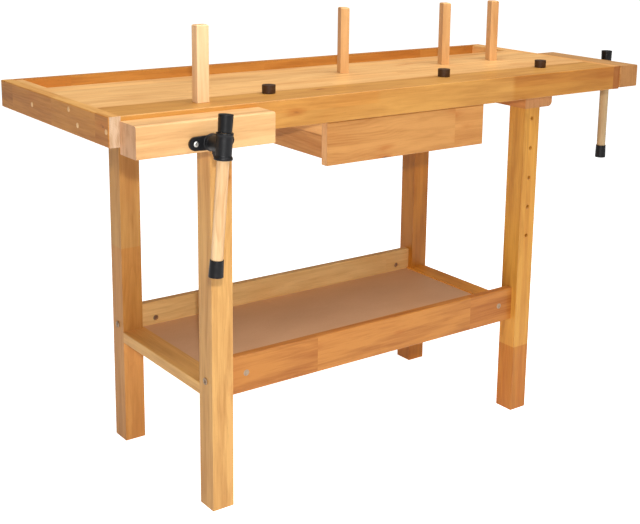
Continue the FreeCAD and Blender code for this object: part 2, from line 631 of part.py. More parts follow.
def drawer():
    """The drawer and its two runners."""
    side = drawer_side_left()
    parts = {
        "drawer_side_left": side,
        "drawer_side_right": mirrored_x(side, DRAWER_MID_X),
        "drawer_bottom": drawer_floor(),
        "drawer_back": drawer_back(),
        "drawer_runner_left": runner_left(),
        "drawer_runner_right": mirrored_x(runner_left(), DRAWER_MID_X),
    }
    parts["drawer_front"] = drawer_front([side, parts["drawer_side_right"], parts["drawer_bottom"]])
    return parts


# ---- Vises -------------------------------------------------------------------------------------------
def eared_outline(radius, ear_radius, offset):
    """Closed polygon in the plane y = 0: a disc with an ear on each side, joined by straight tangents."""
    lean = math.acos((radius - ear_radius) / offset)
    arcs = (
        (offset, ear_radius, -lean, 2 * lean, EAR_STEPS),
        (0, radius, lean, math.pi - 2 * lean, 2),
        (-offset, ear_radius, math.pi - lean, 2 * lean, EAR_STEPS),
        (0, radius, math.pi + lean, math.pi - 2 * lean, 2),
    )
    corners = []
    for x, size, start, sweep, steps in arcs:
        angles = [start + sweep * step / steps for step in range(steps + 1)]
        corners += [V(x + size * math.cos(angle), 0, size * math.sin(angle)) for angle in angles]
    return Part.makePolygon(corners + corners[:1])


class Vise:
    """Wooden jaw on one screw and two guide rods.

    It is built with the screw in the plane x = 0 and the face that it closes against in the plane
    y = 0, so that it opens towards -Y. The heights are the real ones above the floor.
    """

    def __init__(self, name, jaw_x, jaw_drop, jaw_height, screw_drop, rod_drop, rod_offset, wall, handle,
                 tilt, nut_side):
        self.name = name
        self.jaw_x = jaw_x
        self.jaw_z = (WORK_HEIGHT - jaw_drop - jaw_height, WORK_HEIGHT - jaw_drop)
        self.screw_z = WORK_HEIGHT - screw_drop
        self.rod_z = WORK_HEIGHT - rod_drop
        self.rod_offset = rod_offset
        self.wall = wall                      # wood between the clamping face and the nut
        self.handle_length = handle
        self.tilt = tilt
        self.nut_side = nut_side              # 1 with the nut plate above the screw, -1 with it below
        self.jaw_face = -JAW_GAP - JAW_THICKNESS
        self.flange_face = self.jaw_face - FLANGE_THICKNESS
        self.boss_face = self.flange_face - FLANGE_BOSS_HEIGHT
        self.hub_y = self.jaw_face - HUB_REACH
        self.rod_tail = wall + VISE_TRAVEL + ROD_SPARE
        self.screw_tail = wall + NUT_PLATE_THICKNESS + VISE_TRAVEL + VISE_SCREW_SPARE

    def rods(self):
        """The two guide rods, let into the back of the jaw."""
        length = self.rod_tail + JAW_GAP + ROD_SOCKET
        return [pin(ROD_RADIUS, start, (0, 1, 0), length) for start in self.rod_starts()]

    def rod_starts(self):
        """Point in the jaw where each guide rod begins."""
        return [(x, -JAW_GAP - ROD_SOCKET, self.rod_z) for x in (-self.rod_offset, self.rod_offset)]

    def rod_bores(self):
        """Running bores for the guide rods through the wood behind the clamping face."""
        xs = (-self.rod_offset, self.rod_offset)
        return [bore(ROD_RADIUS + FIT, (x, 0, self.rod_z), (0, 1, 0), self.wall) for x in xs]

    def screw_way(self):
        """Clearance bore for the screw through the wood behind the clamping face."""
        return prism(VISE_SCREW_RADIUS + SCREW_CLEARANCE, (0, 0, self.screw_z), (0, 1, 0), self.wall)

    def flange_screws(self, spare=0.0):
        """The two round-headed screws through the ears of the flange."""
        xs = (-FLANGE_EAR_OFFSET, FLANGE_EAR_OFFSET)
        profile = (
            (0, -FLANGE_SCREW_DOME),
            (FLANGE_SCREW_HEAD / 2, -FLANGE_SCREW_DOME),
            (FLANGE_SCREW_HEAD, 0),
            (FLANGE_SCREW_RADIUS + spare, 0),
            (FLANGE_SCREW_RADIUS + spare, FLANGE_SCREW_LENGTH),
            (0, FLANGE_SCREW_LENGTH),
        )
        return [turned(profile, (x, self.flange_face, self.screw_z), (0, 1, 0), FASTENER_SIDES) for x in xs]

    def jaw(self):
        """Jaw board with the rod sockets, the screw's bore and the recess for its collar."""
        board = block(self.jaw_x, (self.jaw_face, -JAW_GAP), self.jaw_z)
        board = rounded(board, JAW_ROUND, {"y": self.jaw_face, "z": self.jaw_z[1]})
        board = bevelled(board, EASE, {"y": self.jaw_face, "z": self.jaw_z[0]})
        middle = (0, self.jaw_face, self.screw_z)
        board = board.cut(prism(VISE_SCREW_RADIUS + SCREW_CLEARANCE, middle, (0, 1, 0), JAW_THICKNESS))
        board = board.cut(prism(COLLAR_RADIUS + SCREW_CLEARANCE, middle, (0, 1, 0), COLLAR_WIDTH + 2 * GAP))
        sockets = [bore(ROD_RADIUS + FIT, start, (0, 1, 0), ROD_SOCKET) for start in self.rod_starts()]
        for hole in sockets + self.flange_screws(FIT):
            board = board.cut(hole)
        return board

    def flange(self):
        """Plate with two ears and a raised boss, which holds the screw to the jaw."""
        outline = eared_outline(FLANGE_RADIUS, FLANGE_EAR_RADIUS, FLANGE_EAR_OFFSET)
        outline.translate(V(0, self.flange_face, self.screw_z))
        plate = Part.Face(outline).extrude(V(0, FLANGE_THICKNESS, 0))
        profile = (
            (0, 0),
            (FLANGE_BOSS_RADIUS - FLANGE_BOSS_TAPER, 0),
            (FLANGE_BOSS_RADIUS + FLANGE_BOSS_TAPER, FLANGE_BOSS_HEIGHT),
            (0, FLANGE_BOSS_HEIGHT),
        )
        middle = (0, self.boss_face, self.screw_z)
        plate = plate.fuse(turned(profile, middle, (0, 1, 0)))
        screw_hole = bore(VISE_SCREW_RADIUS + FIT, middle, (0, 1, 0), FLANGE_THICKNESS + FLANGE_BOSS_HEIGHT)
        for hole in [screw_hole] + self.flange_screws(FIT):
            plate = plate.cut(hole)
        return plate

    def screw(self):
        """Screw with its collar; it ends in the socket of the hub."""
        start = self.hub_y + HANDLE_RADIUS + HUB_WALL
        collar = self.jaw_face + GAP - start
        length = self.screw_tail - start
        radius = VISE_SCREW_RADIUS
        profile = (
            (0, 0),
            (radius, 0),
            (radius, collar),
            (COLLAR_RADIUS, collar),
            (COLLAR_RADIUS, collar + COLLAR_WIDTH),
            (radius, collar + COLLAR_WIDTH),
            (radius, length - VISE_SCREW_BEVEL),
            (radius - VISE_SCREW_BEVEL, length),
            (0, length),
        )
        return self.tilted(turned(profile, (0, start, self.screw_z), (0, 1, 0)))

    def tilted(self, shape):
        """The shape turned about the screw to the handle's angle."""
        shape.rotate(V(0, 0, self.screw_z), V(0, 1, 0), self.tilt)
        return shape

    def hub(self):
        """Cross sleeve for the handle with a neck that takes the end of the screw."""
        half = HUB_LENGTH / 2
        rim = half - HUB_RIM_WIDTH
        waist = rim - HUB_RIM_SLOPE
        profile = (
            (0, -half),
            (HUB_FLARE_RADIUS, -half),
            (HUB_FLARE_RADIUS, -rim),
            (HUB_RADIUS, -waist),
            (HUB_RADIUS, waist),
            (HUB_RIM_RADIUS, rim),
            (HUB_RIM_RADIUS, half),
            (0, half),
        )
        sleeve = turned(profile, (0, self.hub_y, self.screw_z), (0, 0, 1))
        neck_length = self.boss_face - GAP - self.hub_y
        taper = ((0, 0), (HUB_RADIUS, 0), (HUB_NECK_RADIUS, neck_length), (0, neck_length))
        neck = turned(taper, (0, self.hub_y, self.screw_z), (0, 1, 0))
        low = (0, self.hub_y, self.screw_z - half)
        handle_way = bore(HANDLE_RADIUS + HANDLE_FIT, low, (0, 0, 1), HUB_LENGTH)
        start = HANDLE_RADIUS + HUB_WALL
        end = (0, self.hub_y + start, self.screw_z)
        socket = prism(VISE_SCREW_RADIUS + FIT, end, (0, 1, 0), neck_length - start)
        return self.tilted(sleeve.fuse(neck).cut(handle_way).cut(socket))

    def handle_top(self):
        """Height of the upper cap's end above the screw, with the cap resting on the hub."""
        return HUB_LENGTH / 2 + GAP + CAP_LENGTH

    def handle_bar(self):
        """Turned wooden bar that slides through the hub."""
        length = self.handle_length - 2 * (CAP_LENGTH - CAP_SOCKET)
        low = self.screw_z + self.handle_top() - self.handle_length + CAP_LENGTH - CAP_SOCKET
        return self.tilted(pin(HANDLE_RADIUS, (0, self.hub_y, low), (0, 0, 1), length))

    def handle_caps(self):
        """Flared end caps, which stop the bar at the hub."""
        top = self.screw_z + self.handle_top()
        profile = (
            (0, 0),
            (CAP_MOUTH_RADIUS, 0),
            (CAP_END_RADIUS, CAP_LENGTH - CAP_BEVEL),
            (CAP_END_RADIUS - CAP_BEVEL, CAP_LENGTH),
            (0, CAP_LENGTH),
        )
        caps = []
        for mouth, up in ((top - CAP_LENGTH, 1), (top - self.handle_length + CAP_LENGTH, -1)):
            frame = ((0, self.hub_y, mouth), (0, 0, up))
            caps.append(self.tilted(turned(profile, *frame).cut(bore(HANDLE_RADIUS + FIT, *frame, CAP_SOCKET))))
        return caps

    def nut_screws(self, spare=0.0):
        """The two wood screws that hold the nut plate."""
        middle = self.nut_side * (NUT_PLATE_ABOVE - NUT_PLATE_BELOW) / 2
        xs = (-NUT_SCREW_OFFSET, NUT_SCREW_OFFSET)
        start_y = self.wall + NUT_PLATE_THICKNESS
        return [wood_screw((x, start_y, self.screw_z + middle), (0, -1, 0), spare) for x in xs]

    def nut(self):
        """Plate with a threaded barrel, screwed behind the wood."""
        x = (-NUT_PLATE_WIDTH / 2, NUT_PLATE_WIDTH / 2)
        y = (self.wall, self.wall + NUT_PLATE_THICKNESS)
        reach = sorted((-self.nut_side * NUT_PLATE_BELOW, self.nut_side * NUT_PLATE_ABOVE))
        z = (self.screw_z + reach[0], self.screw_z + reach[1])
        plate = bevelled(block(x, y, z), NUT_PLATE_BEVEL, *[{"x": side, "z": edge} for side in x for edge in z])
        plate = plate.fuse(prism(NUT_BARREL_RADIUS, (0, self.wall, self.screw_z), (0, 1, 0), NUT_LENGTH))
        return plate.cut(bore(VISE_SCREW_RADIUS + FIT, (0, self.wall, self.screw_z), (0, 1, 0), NUT_LENGTH))

    def parts(self):
        """Every part of the vise by name."""
        return {
            self.name + "_jaw": self.jaw(),
            self.name + "_guide_rods": Part.makeCompound(self.rods()),
            self.name + "_flange": self.flange(),
            self.name + "_flange_screws": Part.makeCompound(self.flange_screws()),
            self.name + "_screw": self.screw(),
            self.name + "_hub": self.hub(),
            self.name + "_nut": self.nut(),
            self.name + "_handle_bar": self.handle_bar(),
            self.name + "_handle_caps": Part.makeCompound(self.handle_caps()),
        }


def front_vise():
    """The vise on the front of the bench."""
    left = FRONT_JAW_LEFT - FRONT_VISE_X
    return Vise(
        "front", (left, left + FRONT_JAW_WIDTH), FRONT_JAW_DROP, FRONT_JAW_HEIGHT, FRONT_SCREW_DROP,
        FRONT_ROD_DROP, FRONT_ROD_OFFSET, FRONT_BEAM_DEPTH, FRONT_HANDLE_LENGTH, FRONT_HANDLE_TILT,
        FRONT_NUT_SIDE,
    )


def tail_vise():
    """The vise on the right end of the bench."""
    return Vise(
        "tail", (-TAIL_JAW_WIDTH / 2, TAIL_JAW_WIDTH / 2), TAIL_JAW_DROP, TAIL_JAW_HEIGHT, TAIL_SCREW_DROP,
        TAIL_ROD_DROP, TAIL_ROD_OFFSET, END_CAP_THICKNESS + BATTEN_THICKNESS, TAIL_HANDLE_LENGTH,
        TAIL_HANDLE_TILT, TAIL_NUT_SIDE,
    )


def on_front(shape):
    """The shape moved from the vise's own frame to the front of the bench."""
    shape.translate(V(FRONT_VISE_X, 0, 0))
    return shape


def on_tail(shape):
    """The shape turned and moved from the vise's own frame to the right end of the bench."""
    shape.rotate(V(0, 0, 0), V(0, 0, 1), 90)
    shape.translate(V(TOP_LENGTH, TAIL_VISE_Y, 0))
    return shape


def screw_slot(vise):
    """Slot in the underside of the front beam for the front vise's screw."""
    radius = VISE_SCREW_RADIUS + SCREW_CLEARANCE
    below = block((FRONT_VISE_X - radius, FRONT_VISE_X + radius), (0, vise.wall), (EDGE_BOTTOM, vise.screw_z))
    return on_front(vise.screw_way()).fuse(below)


def rod_channel(vise):
    """Channel in the underside of the front beam for the front guide rod of the tail vise."""
    radius = ROD_RADIUS + SCREW_CLEARANCE
    y = TAIL_VISE_Y - vise.rod_offset
    x = (TOP_LENGTH - vise.rod_tail - ROD_RADIUS, INNER_X[1])
    way = prism(radius, (x[0], y, vise.rod_z), (1, 0, 0), x[1] - x[0])
    return way.fuse(block(x, (y - radius, y + radius), (EDGE_BOTTOM, vise.rod_z)))


def fit_vises(parts):
    """Add both vises and cut their ways through the bench top."""
    front = front_vise()
    tail = tail_vise()
    front_ways = [on_front(way) for way in front.rod_bores()] + [screw_slot(front), rod_channel(tail)]
    drill(parts, ("front_beam",), front_ways)
    tail_ways = [on_tail(way) for way in tail.rod_bores() + [tail.screw_way()]]
    drill(parts, ("end_cap_right", "end_batten_right"), tail_ways)
    for vise, place in ((front, on_front), (tail, on_tail)):
        for name, shape in vise.parts().items():
            parts[name] = place(shape)


# ---- Dogs and pegs -----------------------------------------------------------------------------------
def dog(x):
    """Round bench dog whose head stands just clear of the top."""
    base = WORK_HEIGHT - DOG_SHANK_LENGTH
    seat = DOG_SHANK_LENGTH + GAP
    top = seat + DOG_HEAD_HEIGHT
    radius = DOG_HOLE_RADIUS - FIT
    profile = (
        (0, 0),
        (radius, 0),
        (radius, seat),
        (DOG_HEAD_RADIUS, seat),
        (DOG_HEAD_RADIUS, top - DOG_BEVEL),
        (DOG_HEAD_RADIUS - DOG_BEVEL, top),
        (0, top),
    )
    return turned(profile, (x, DOG_ROW_Y, base), (0, 0, 1))


def peg(x, y, turn=0.0):
    """Square wooden peg on a round shank, bevelled at the top."""
    seat = WORK_HEIGHT + GAP
    body = block((-PEG_WIDTH / 2, PEG_WIDTH / 2), (-PEG_DEPTH / 2, PEG_DEPTH / 2), (seat, seat + PEG_HEIGHT))
    body = bevelled(body, PEG_BEVEL, {"z": seat + PEG_HEIGHT})
    foot = (0, 0, WORK_HEIGHT - PEG_SHANK_LENGTH)
    body = body.fuse(prism(DOG_HOLE_RADIUS - FIT, foot, (0, 0, 1), PEG_SHANK_LENGTH + GAP))
    body.rotate(V(0, 0, 0), V(0, 0, 1), turn)
    body.translate(V(x, y, 0))
    return body


def dogs_and_pegs():
    """Every dog and peg by name."""
    parts = {"dog_%d" % number: dog(x) for number, x in enumerate(DOG_X, 1)}
    parts["peg_1"] = peg(FRONT_PEG_X, FRONT_PEG_Y)
    for number, x in enumerate(PEG_ROW_X, 2):
        parts["peg_%d" % number] = peg(x, PEG_ROW_Y, PEG_ROW_TURN)
    return parts


# ---- Whole bench -------------------------------------------------------------------------------------
def fasten(parts):
    """Add the wood screws and drill the holes of every screw and bearer bolt."""
    def screws(spare):
        sunk = [(along(point, way, PLUG_DEPTH), way) for point, way in cap_screw_frames()]
        sunk += [(along(point, way, RUNNER_LIP_HEIGHT), way) for point, way in runner_screw_frames()]
        front = [on_front(screw) for screw in front_vise().nut_screws(spare)]
        tail = [on_tail(screw) for screw in tail_vise().nut_screws(spare)]
        return [wood_screw(*frame, spare) for frame in sunk] + front + tail

    screwed = (
        "end_cap_left", "end_cap_right", "end_batten_left", "end_batten_right", "top_panel", "front_beam",
        "back_beam", "drawer_runner_left", "drawer_runner_right", "front_nut", "tail_nut",
    )
    drill(parts, screwed, screws(FIT))
    radius = SCREW_HEAD_RADIUS + FIT
    recesses = [prism(radius, *frame, RUNNER_LIP_HEIGHT, FASTENER_SIDES) for frame in runner_screw_frames()]
    drill(parts, ("drawer_runner_left", "drawer_runner_right"), recesses)
    drill(parts, ("bearer_left", "bearer_right", "front_beam", "back_beam"), bearer_bolts(FIT))
    parts["fixing_screws"] = Part.makeCompound(screws(0.0))


def origin():
    """Point on the floor under the middle of the bench and its two closed vises."""
    overhang = JAW_GAP + JAW_THICKNESS + HUB_REACH + HUB_FLARE_RADIUS
    return V((TOP_LENGTH + overhang) / 2, (TOP_DEPTH - overhang) / 2, 0)


def main():
    """Build every part and write one STEP file for each."""
    parts = bench_top()
    parts.update(underframe())
    parts.update(drawer())
    fit_vises(parts)
    parts.update(dogs_and_pegs())
    fasten(parts)
    os.makedirs("parts", exist_ok=True)
    for name, shape in parts.items():
        shape.translate(-origin())
        shape.exportStep("parts/%s.step" % name)


main()
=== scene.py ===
"""Woodworking bench with two vises: finishes, turned and cast fittings, small fasteners, studio and camera."""
import logging
import math
from dataclasses import dataclass, field
from enum import Enum
from typing import Callable, Iterable, Mapping, Optional, Sequence, Union

import bmesh
import bpy
from mathutils import Matrix, Vector


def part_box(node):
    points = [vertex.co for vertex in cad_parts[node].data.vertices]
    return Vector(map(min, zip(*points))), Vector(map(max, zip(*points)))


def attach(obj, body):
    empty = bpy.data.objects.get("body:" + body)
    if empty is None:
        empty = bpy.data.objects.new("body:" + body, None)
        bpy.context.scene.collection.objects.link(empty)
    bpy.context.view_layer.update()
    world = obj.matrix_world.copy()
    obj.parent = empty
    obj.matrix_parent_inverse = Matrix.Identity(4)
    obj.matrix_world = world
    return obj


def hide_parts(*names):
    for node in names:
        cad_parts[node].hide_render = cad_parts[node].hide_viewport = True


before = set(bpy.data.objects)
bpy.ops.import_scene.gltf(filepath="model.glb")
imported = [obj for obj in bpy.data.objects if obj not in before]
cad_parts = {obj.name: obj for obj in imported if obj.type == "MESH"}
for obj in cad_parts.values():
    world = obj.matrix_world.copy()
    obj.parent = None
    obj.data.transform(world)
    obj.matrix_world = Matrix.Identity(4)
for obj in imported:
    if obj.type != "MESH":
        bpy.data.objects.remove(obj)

LOG = logging.getLogger("bench")
MM = 0.001
FAR = 9.9
Item = bpy.types.Object
Material = bpy.types.Material
Colour = tuple[float, float, float, float]
Triple = tuple[float, float, float]
Profile = Sequence[tuple[float, float]]
Places = Sequence[tuple[Vector, Vector]]
Values = Mapping[str, object]
Inputs = Mapping[Union[int, str], object]
Term = Union["Socket", float]


def rgb(red: int, green: int, blue: int) -> Colour:
    """Turn a display colour into a linear one.

    Args:
        red, green, blue: The display colour, 0 to 255.

    Returns:
        The linear colour with full alpha.
    """
    shown = (red / 255, green / 255, blue / 255)
    return (*(v / 12.92 if v <= 0.04045 else ((v + 0.055) / 1.055) ** 2.4 for v in shown), 1.0)


def add_node(tree: bpy.types.NodeTree, kind: str, inputs: Inputs = {}, **settings: object) -> bpy.types.Node:
    """Add a node to a tree.

    Args:
        tree: The shader or geometry tree.
        kind: The node's type.
        inputs: Values, sockets or nodes, which stand for their first output, by input name or number.
        settings: Attributes that are set first.

    Returns:
        The node.
    """
    made = tree.nodes.new(kind)
    for key, value in settings.items():
        setattr(made, key, value)
    for key, value in inputs.items():
        source = value.link if isinstance(value, Socket) else value
        source = source.outputs[0] if isinstance(source, bpy.types.Node) else source
        if isinstance(source, bpy.types.NodeSocket):
            tree.links.new(source, made.inputs[key])
        else:
            made.inputs[key].default_value = source
    return made


# ---- Shader expressions ----


def arithmetic(operation: str, swapped: bool = False) -> Callable[..., "Socket"]:
    """Make a method of Socket that adds a Math node.

    Args:
        operation: The node's operation.
        swapped: Whether the other number comes first.

    Returns:
        The method, which returns the node's output.
    """

    def method(first: "Socket", *others: Term) -> "Socket":
        """Put the numbers into the node."""
        values = (*others, first) if swapped else (first, *others)
        return first.graph.node("ShaderNodeMath", dict(enumerate(values)), operation=operation)

    return method


class Socket:
    """The output of a shader node, which takes part in Python arithmetic."""

    def __init__(self, graph: "Graph", link: bpy.types.NodeSocket) -> None:
        """Keep the graph and the socket."""
        self.graph = graph
        self.link = link

    __add__ = __radd__ = arithmetic("ADD")
    __sub__ = arithmetic("SUBTRACT")
    __rsub__ = arithmetic("SUBTRACT", swapped=True)
    __mul__ = __rmul__ = arithmetic("MULTIPLY")
    __truediv__ = arithmetic("DIVIDE")
    floor = arithmetic("FLOOR")
    fract = arithmetic("FRACT")
    absolute = arithmetic("ABSOLUTE")

    def step(self, low: float, high: float) -> "Socket":
        """Rise smoothly from 0 at low to 1 at high.

        Args:
            low: Where the rise begins.
            high: Where it ends.

        Returns:
            The smooth step.
        """
        inputs = {"Value": self, "From Min": low, "From Max": high}
        return self.graph.node("ShaderNodeMapRange", inputs, interpolation_type="SMOOTHSTEP", clamp=True)


class Graph:
    """The node tree of one material."""

    def __init__(self, name: str) -> None:
        """Start an empty material.

        Args:
            name: The material's name.
        """
        self.material = bpy.data.materials.new(name)
        self.material.use_nodes = True
        self.tree = self.material.node_tree
        self.tree.nodes.clear()
        self.place = self.node("ShaderNodeTexCoord", output="Object")

    def node(self, kind: str, inputs: Inputs = {}, output: Union[int, str] = 0, **settings: object) -> Socket:
        """Add a node and return the output with this name or number."""
        return Socket(self, add_node(self.tree, kind, inputs, **settings).outputs[output])

    def parts(self, vector: Socket) -> list[Socket]:
        """Split a vector or a colour into its three numbers."""
        split = self.node("ShaderNodeSeparateXYZ", {0: vector}).link.node
        return [Socket(self, out) for out in split.outputs]

    def vector(self, operation: str, *values: object) -> Socket:
        """Add a Vector Math node with these inputs."""
        return self.node("ShaderNodeVectorMath", dict(enumerate(values)), operation=operation)

    def noise(self, scale: Triple, detail: float = 2.0, twist: float = 0.0, place: Optional[Socket] = None) -> Socket:
        """Add a stretched noise.

        Args:
            scale: How often it repeats along each axis, per metre.
            detail: Number of finer layers.
            twist: Distortion.
            place: The coordinates; without them, those of the object.

        Returns:
            The noise, about 0.5.
        """
        stretched = self.vector("MULTIPLY", place or self.place, scale)
        inputs = {"Vector": stretched, "Scale": 1.0, "Detail": detail, "Distortion": twist}
        return self.node("ShaderNodeTexNoise", inputs)

    def mix(self, factor: Term, first: object, second: object, blend: str = "MIX") -> Socket:
        """Mix two colours.

        Args:
            factor: 0 for the first colour, 1 for the second.
            first, second: The colours or their sockets.
            blend: The blend mode.

        Returns:
            The mixed colour.
        """
        inputs = {0: factor, 6: first, 7: second}
        return self.node("ShaderNodeMix", inputs, 2, data_type="RGBA", blend_type=blend, clamp_factor=True)

    def finish(self, constants: Values, colour: object, roughness: object, height: Socket, relief: float) -> Material:
        """Close the tree with a Principled shader.

        Args:
            constants: Values set on the shader's own sockets.
            colour: Base colour.
            roughness: Roughness.
            height: Height field for the bump.
            relief: Depth of the bump in metres.

        Returns:
            The finished material.
        """
        bump = self.node("ShaderNodeBump", {"Strength": 0.6, "Distance": relief, "Height": height})
        inputs = {"Base Color": colour, "Roughness": roughness, "Normal": bump, **constants}
        shader = self.node("ShaderNodeBsdfPrincipled", inputs)
        add_node(self.tree, "ShaderNodeOutputMaterial", {"Surface": shader})
        return self.material


# ---- Finishes ----


class Grain(Enum):
    """Direction of the fibres, as the order of the axes: along, across and through the board."""

    LENGTH = (0, 1, 2)
    WIDTH = (1, 0, 2)
    HEIGHT = (2, 0, 1)


@dataclass(frozen=True)
class Patch:
    """A region of a board with a colour of its own, such as a strip glued in from another plank, or a face darkened as
    painted shade.
    """

    colour: Colour
    low: Triple = (-FAR, -FAR, -FAR)
    high: Triple = (FAR, FAR, FAR)
    amount: float = 0.7
    edges: Triple = (9 * MM, 1 * MM, 0.5 * MM)

    def mask(self, axes: Sequence[Socket]) -> Term:
        """Build the region's mask.

        Args:
            axes: The object coordinates x, y and z.

        Returns:
            The amount inside the region and 0 outside.
        """
        inside: Term = self.amount
        for axis, low, high, edge in zip(axes, self.low, self.high, self.edges):
            if low > -FAR:
                inside = axis.step(low - edge, low + edge) * inside
            if high < FAR:
                inside = (1.0 - axis.step(high - edge, high + edge)) * inside
        return inside


LATE_WOOD = (0.62, 0.48, 0.34)
STAIN = (0.82, 0.58, 0.38)
END_PORES = (0.66, 0.54, 0.42)
KNOT_HALO = (0.7, 0.42, 0.22)
KNOT_CORE = rgb(92, 52, 26)
OIL = {"Specular IOR Level": 0.3, "Coat Weight": 0.04, "Coat Roughness": 0.3}


def dimmed(colour: Colour, factors: Triple) -> Colour:
    """Dim a colour by a factor for each channel."""
    return (*(value * factor for value, factor in zip(colour, factors)), 1.0)


@dataclass(frozen=True)
class Timber:
    """Oiled hardwood, in one piece or glued up from staves."""

    name: str
    base: Colour = rgb(238, 184, 116)
    grain: Grain = Grain.LENGTH
    end: Colour = rgb(224, 174, 120)
    warmth: float = 0.3
    seed: float = 0.0
    stave: float = 9.0
    stave_length: float = 9.0
    tone: float = 0.1
    ring: float = 7.5 * MM
    contrast: float = 0.42
    knots: float = 0.0
    patches: tuple[Patch, ...] = ()

    def material(self) -> Material:
        """Build the timber's material.

        Returns:
            The material: staves, growth rings, fibres, knots and darker end grain.
        """
        graph = Graph(self.name)
        axes = graph.parts(graph.place)
        along, across, through = [axes[number] for number in self.grain.value]
        row = ((across + 40.0 * self.stave) / self.stave).floor()
        start = graph.node("ShaderNodeTexWhiteNoise", {"W": row + self.seed}, noise_dimensions="1D")
        column = (along / self.stave_length + start * 7.0 + 50.0).floor()
        place = graph.node("ShaderNodeCombineXYZ", {0: row, 1: column, 2: self.seed})
        cell = graph.node("ShaderNodeTexWhiteNoise", {"Vector": place}, "Color", noise_dimensions="3D")
        tone, slope, warmth = graph.parts(cell)
        fibres = graph.node("ShaderNodeCombineXYZ", {0: along, 1: across, 2: through})
        fibres = graph.vector("MULTIPLY_ADD", cell, (11.0, 7.0, 5.0), fibres)

        wobble = graph.noise((1.7, 9.0, 9.0), 2.0, 0.4, fibres)
        bend = graph.noise((9.0, 34.0, 34.0), 2.0, 0.0, fibres)
        distance = across * slope + through * (1.2 - slope) + wobble * 0.085 + bend * 0.012
        ring = (distance / self.ring).fract()
        late = ring.step(0.25, 0.9) * (1.0 - ring.step(0.92, 1.0)) * wobble.step(0.38, 0.62)
        streak = graph.noise((4.5, 48.0, 48.0), 4.0, 0.7, fibres)
        broad = graph.noise((3.0, 17.0, 17.0), 3.0, 0.5, fibres)
        fibre = graph.noise((16.0, 330.0, 330.0), 2.0, 0.0, fibres)
        fleck = graph.noise((70.0, 900.0, 900.0), 1.0, 0.0, fibres).step(0.62, 0.78)
        darkness = late * (0.45 * self.contrast) + (fibre - 0.5) * (1.4 * self.contrast)
        darkness = darkness + (streak - 0.5) * (4.2 * self.contrast) + (broad - 0.5) * (2.6 * self.contrast)
        colour = graph.mix(darkness + 0.24, self.base, dimmed(self.base, LATE_WOOD))
        stain = graph.noise((2.4, 8.0, 8.0), 3.0, 0.6, fibres).step(0.46, 0.72)
        stained = stain * self.warmth + (warmth - 0.5) * self.warmth
        colour = graph.mix(stained, colour, dimmed(self.base, STAIN))
        for patch in self.patches:
            tinted = graph.mix(patch.mask(axes), rgb(255, 255, 255), patch.colour)
            colour = graph.mix(1.0, colour, tinted, "MULTIPLY")
        level = (tone - 0.5) * self.tone + 1.0 - fleck * 0.12
        colour = graph.node("ShaderNodeVectorMath", {0: colour, "Scale": level}, operation="SCALE")
        if self.knots:
            colour = self.knotted(graph, fibres, colour)
        normals = graph.parts(graph.node("ShaderNodeTexCoord", output="Normal"))
        end = normals[self.grain.value[0]].absolute().step(0.75, 0.95)
        cross = (distance / (2.4 * MM)).fract().step(0.2, 1.0)
        rays = graph.noise((3.0, 190.0, 24.0), 3.0, 0.5, fibres)
        darkness = cross * 0.2 + (broad - 0.42) * 1.6 + (rays - 0.5) * 2.2
        colour = graph.mix(end * 0.85, colour, graph.mix(darkness, self.end, dimmed(self.end, END_PORES)))
        roughness = fibre * 0.18 + 0.36 + end * 0.15
        height = fibre * 0.6 - late * 0.25 - fleck * 0.5
        return graph.finish(OIL, colour, roughness, height, 0.35 * MM)

    def knotted(self, graph: Graph, place: Socket, colour: Socket) -> Socket:
        """Add small dark knots.

        Args:
            graph: The material's graph.
            place: The coordinates along the fibres.
            colour: The colour of the clear wood.

        Returns:
            The colour with the knots.
        """
        warped = graph.vector("MULTIPLY", place, (9.0, 27.0, 27.0))
        swirl = graph.node("ShaderNodeTexNoise", {"Vector": warped, "Scale": 3.0}, "Color")
        swirled = graph.vector("MULTIPLY_ADD", swirl, (0.25, 0.25, 0.25), warped)
        cells = graph.node("ShaderNodeTexVoronoi", {"Vector": swirled, "Scale": 1.0})
        draw = graph.parts(Socket(graph, cells.link.node.outputs["Color"]))[0]
        chosen = draw.step(1.0 - self.knots, 1.02 - self.knots)
        halo = (1.0 - cells.step(0.06, 0.36)) * chosen
        core = (1.0 - cells.step(0.04, 0.13)) * chosen
        return graph.mix(core * 0.8, graph.mix(halo * 0.65, colour, dimmed(self.base, KNOT_HALO)), KNOT_CORE)


@dataclass(frozen=True)
class Hardboard:
    """Smooth pressed board."""

    name: str
    light: Colour = rgb(220, 178, 138)
    dark: Colour = rgb(198, 155, 116)

    def material(self) -> Material:
        """Build the finish's material.

        Returns:
            Mottled brown with faint fibres and a dull sheen.
        """
        graph = Graph(self.name)
        cloud = graph.noise((5.0, 9.0, 9.0), 4.0)
        fibre = graph.noise((160.0, 420.0, 300.0), 2.0, 1.5)
        colour = graph.mix((cloud - 0.3) * 1.3 + (fibre - 0.5) * 0.5, self.light, self.dark)
        return graph.finish({"IOR": 1.45}, colour, fibre * 0.2 + 0.42, fibre, 0.1 * MM)


@dataclass(frozen=True)
class PaintedCasting:
    """Black paint over cast iron, a little orange-peeled."""

    name: str
    colour: Colour = rgb(13, 13, 16)
    worn: Colour = rgb(52, 50, 50)

    def material(self) -> Material:
        """Build the finish's material.

        Returns:
            Satin black with a pebbled coat and rubbed spots.
        """
        graph = Graph(self.name)
        peel = graph.noise((900.0, 900.0, 900.0), 2.0)
        cloud = graph.noise((60.0, 60.0, 60.0), 3.0)
        rub = cloud.step(0.62, 0.74) * 0.3
        colour = graph.mix(rub, self.colour, self.worn)
        return graph.finish({"IOR": 1.42}, colour, cloud * 0.2 + 0.34, peel, 0.25 * MM)


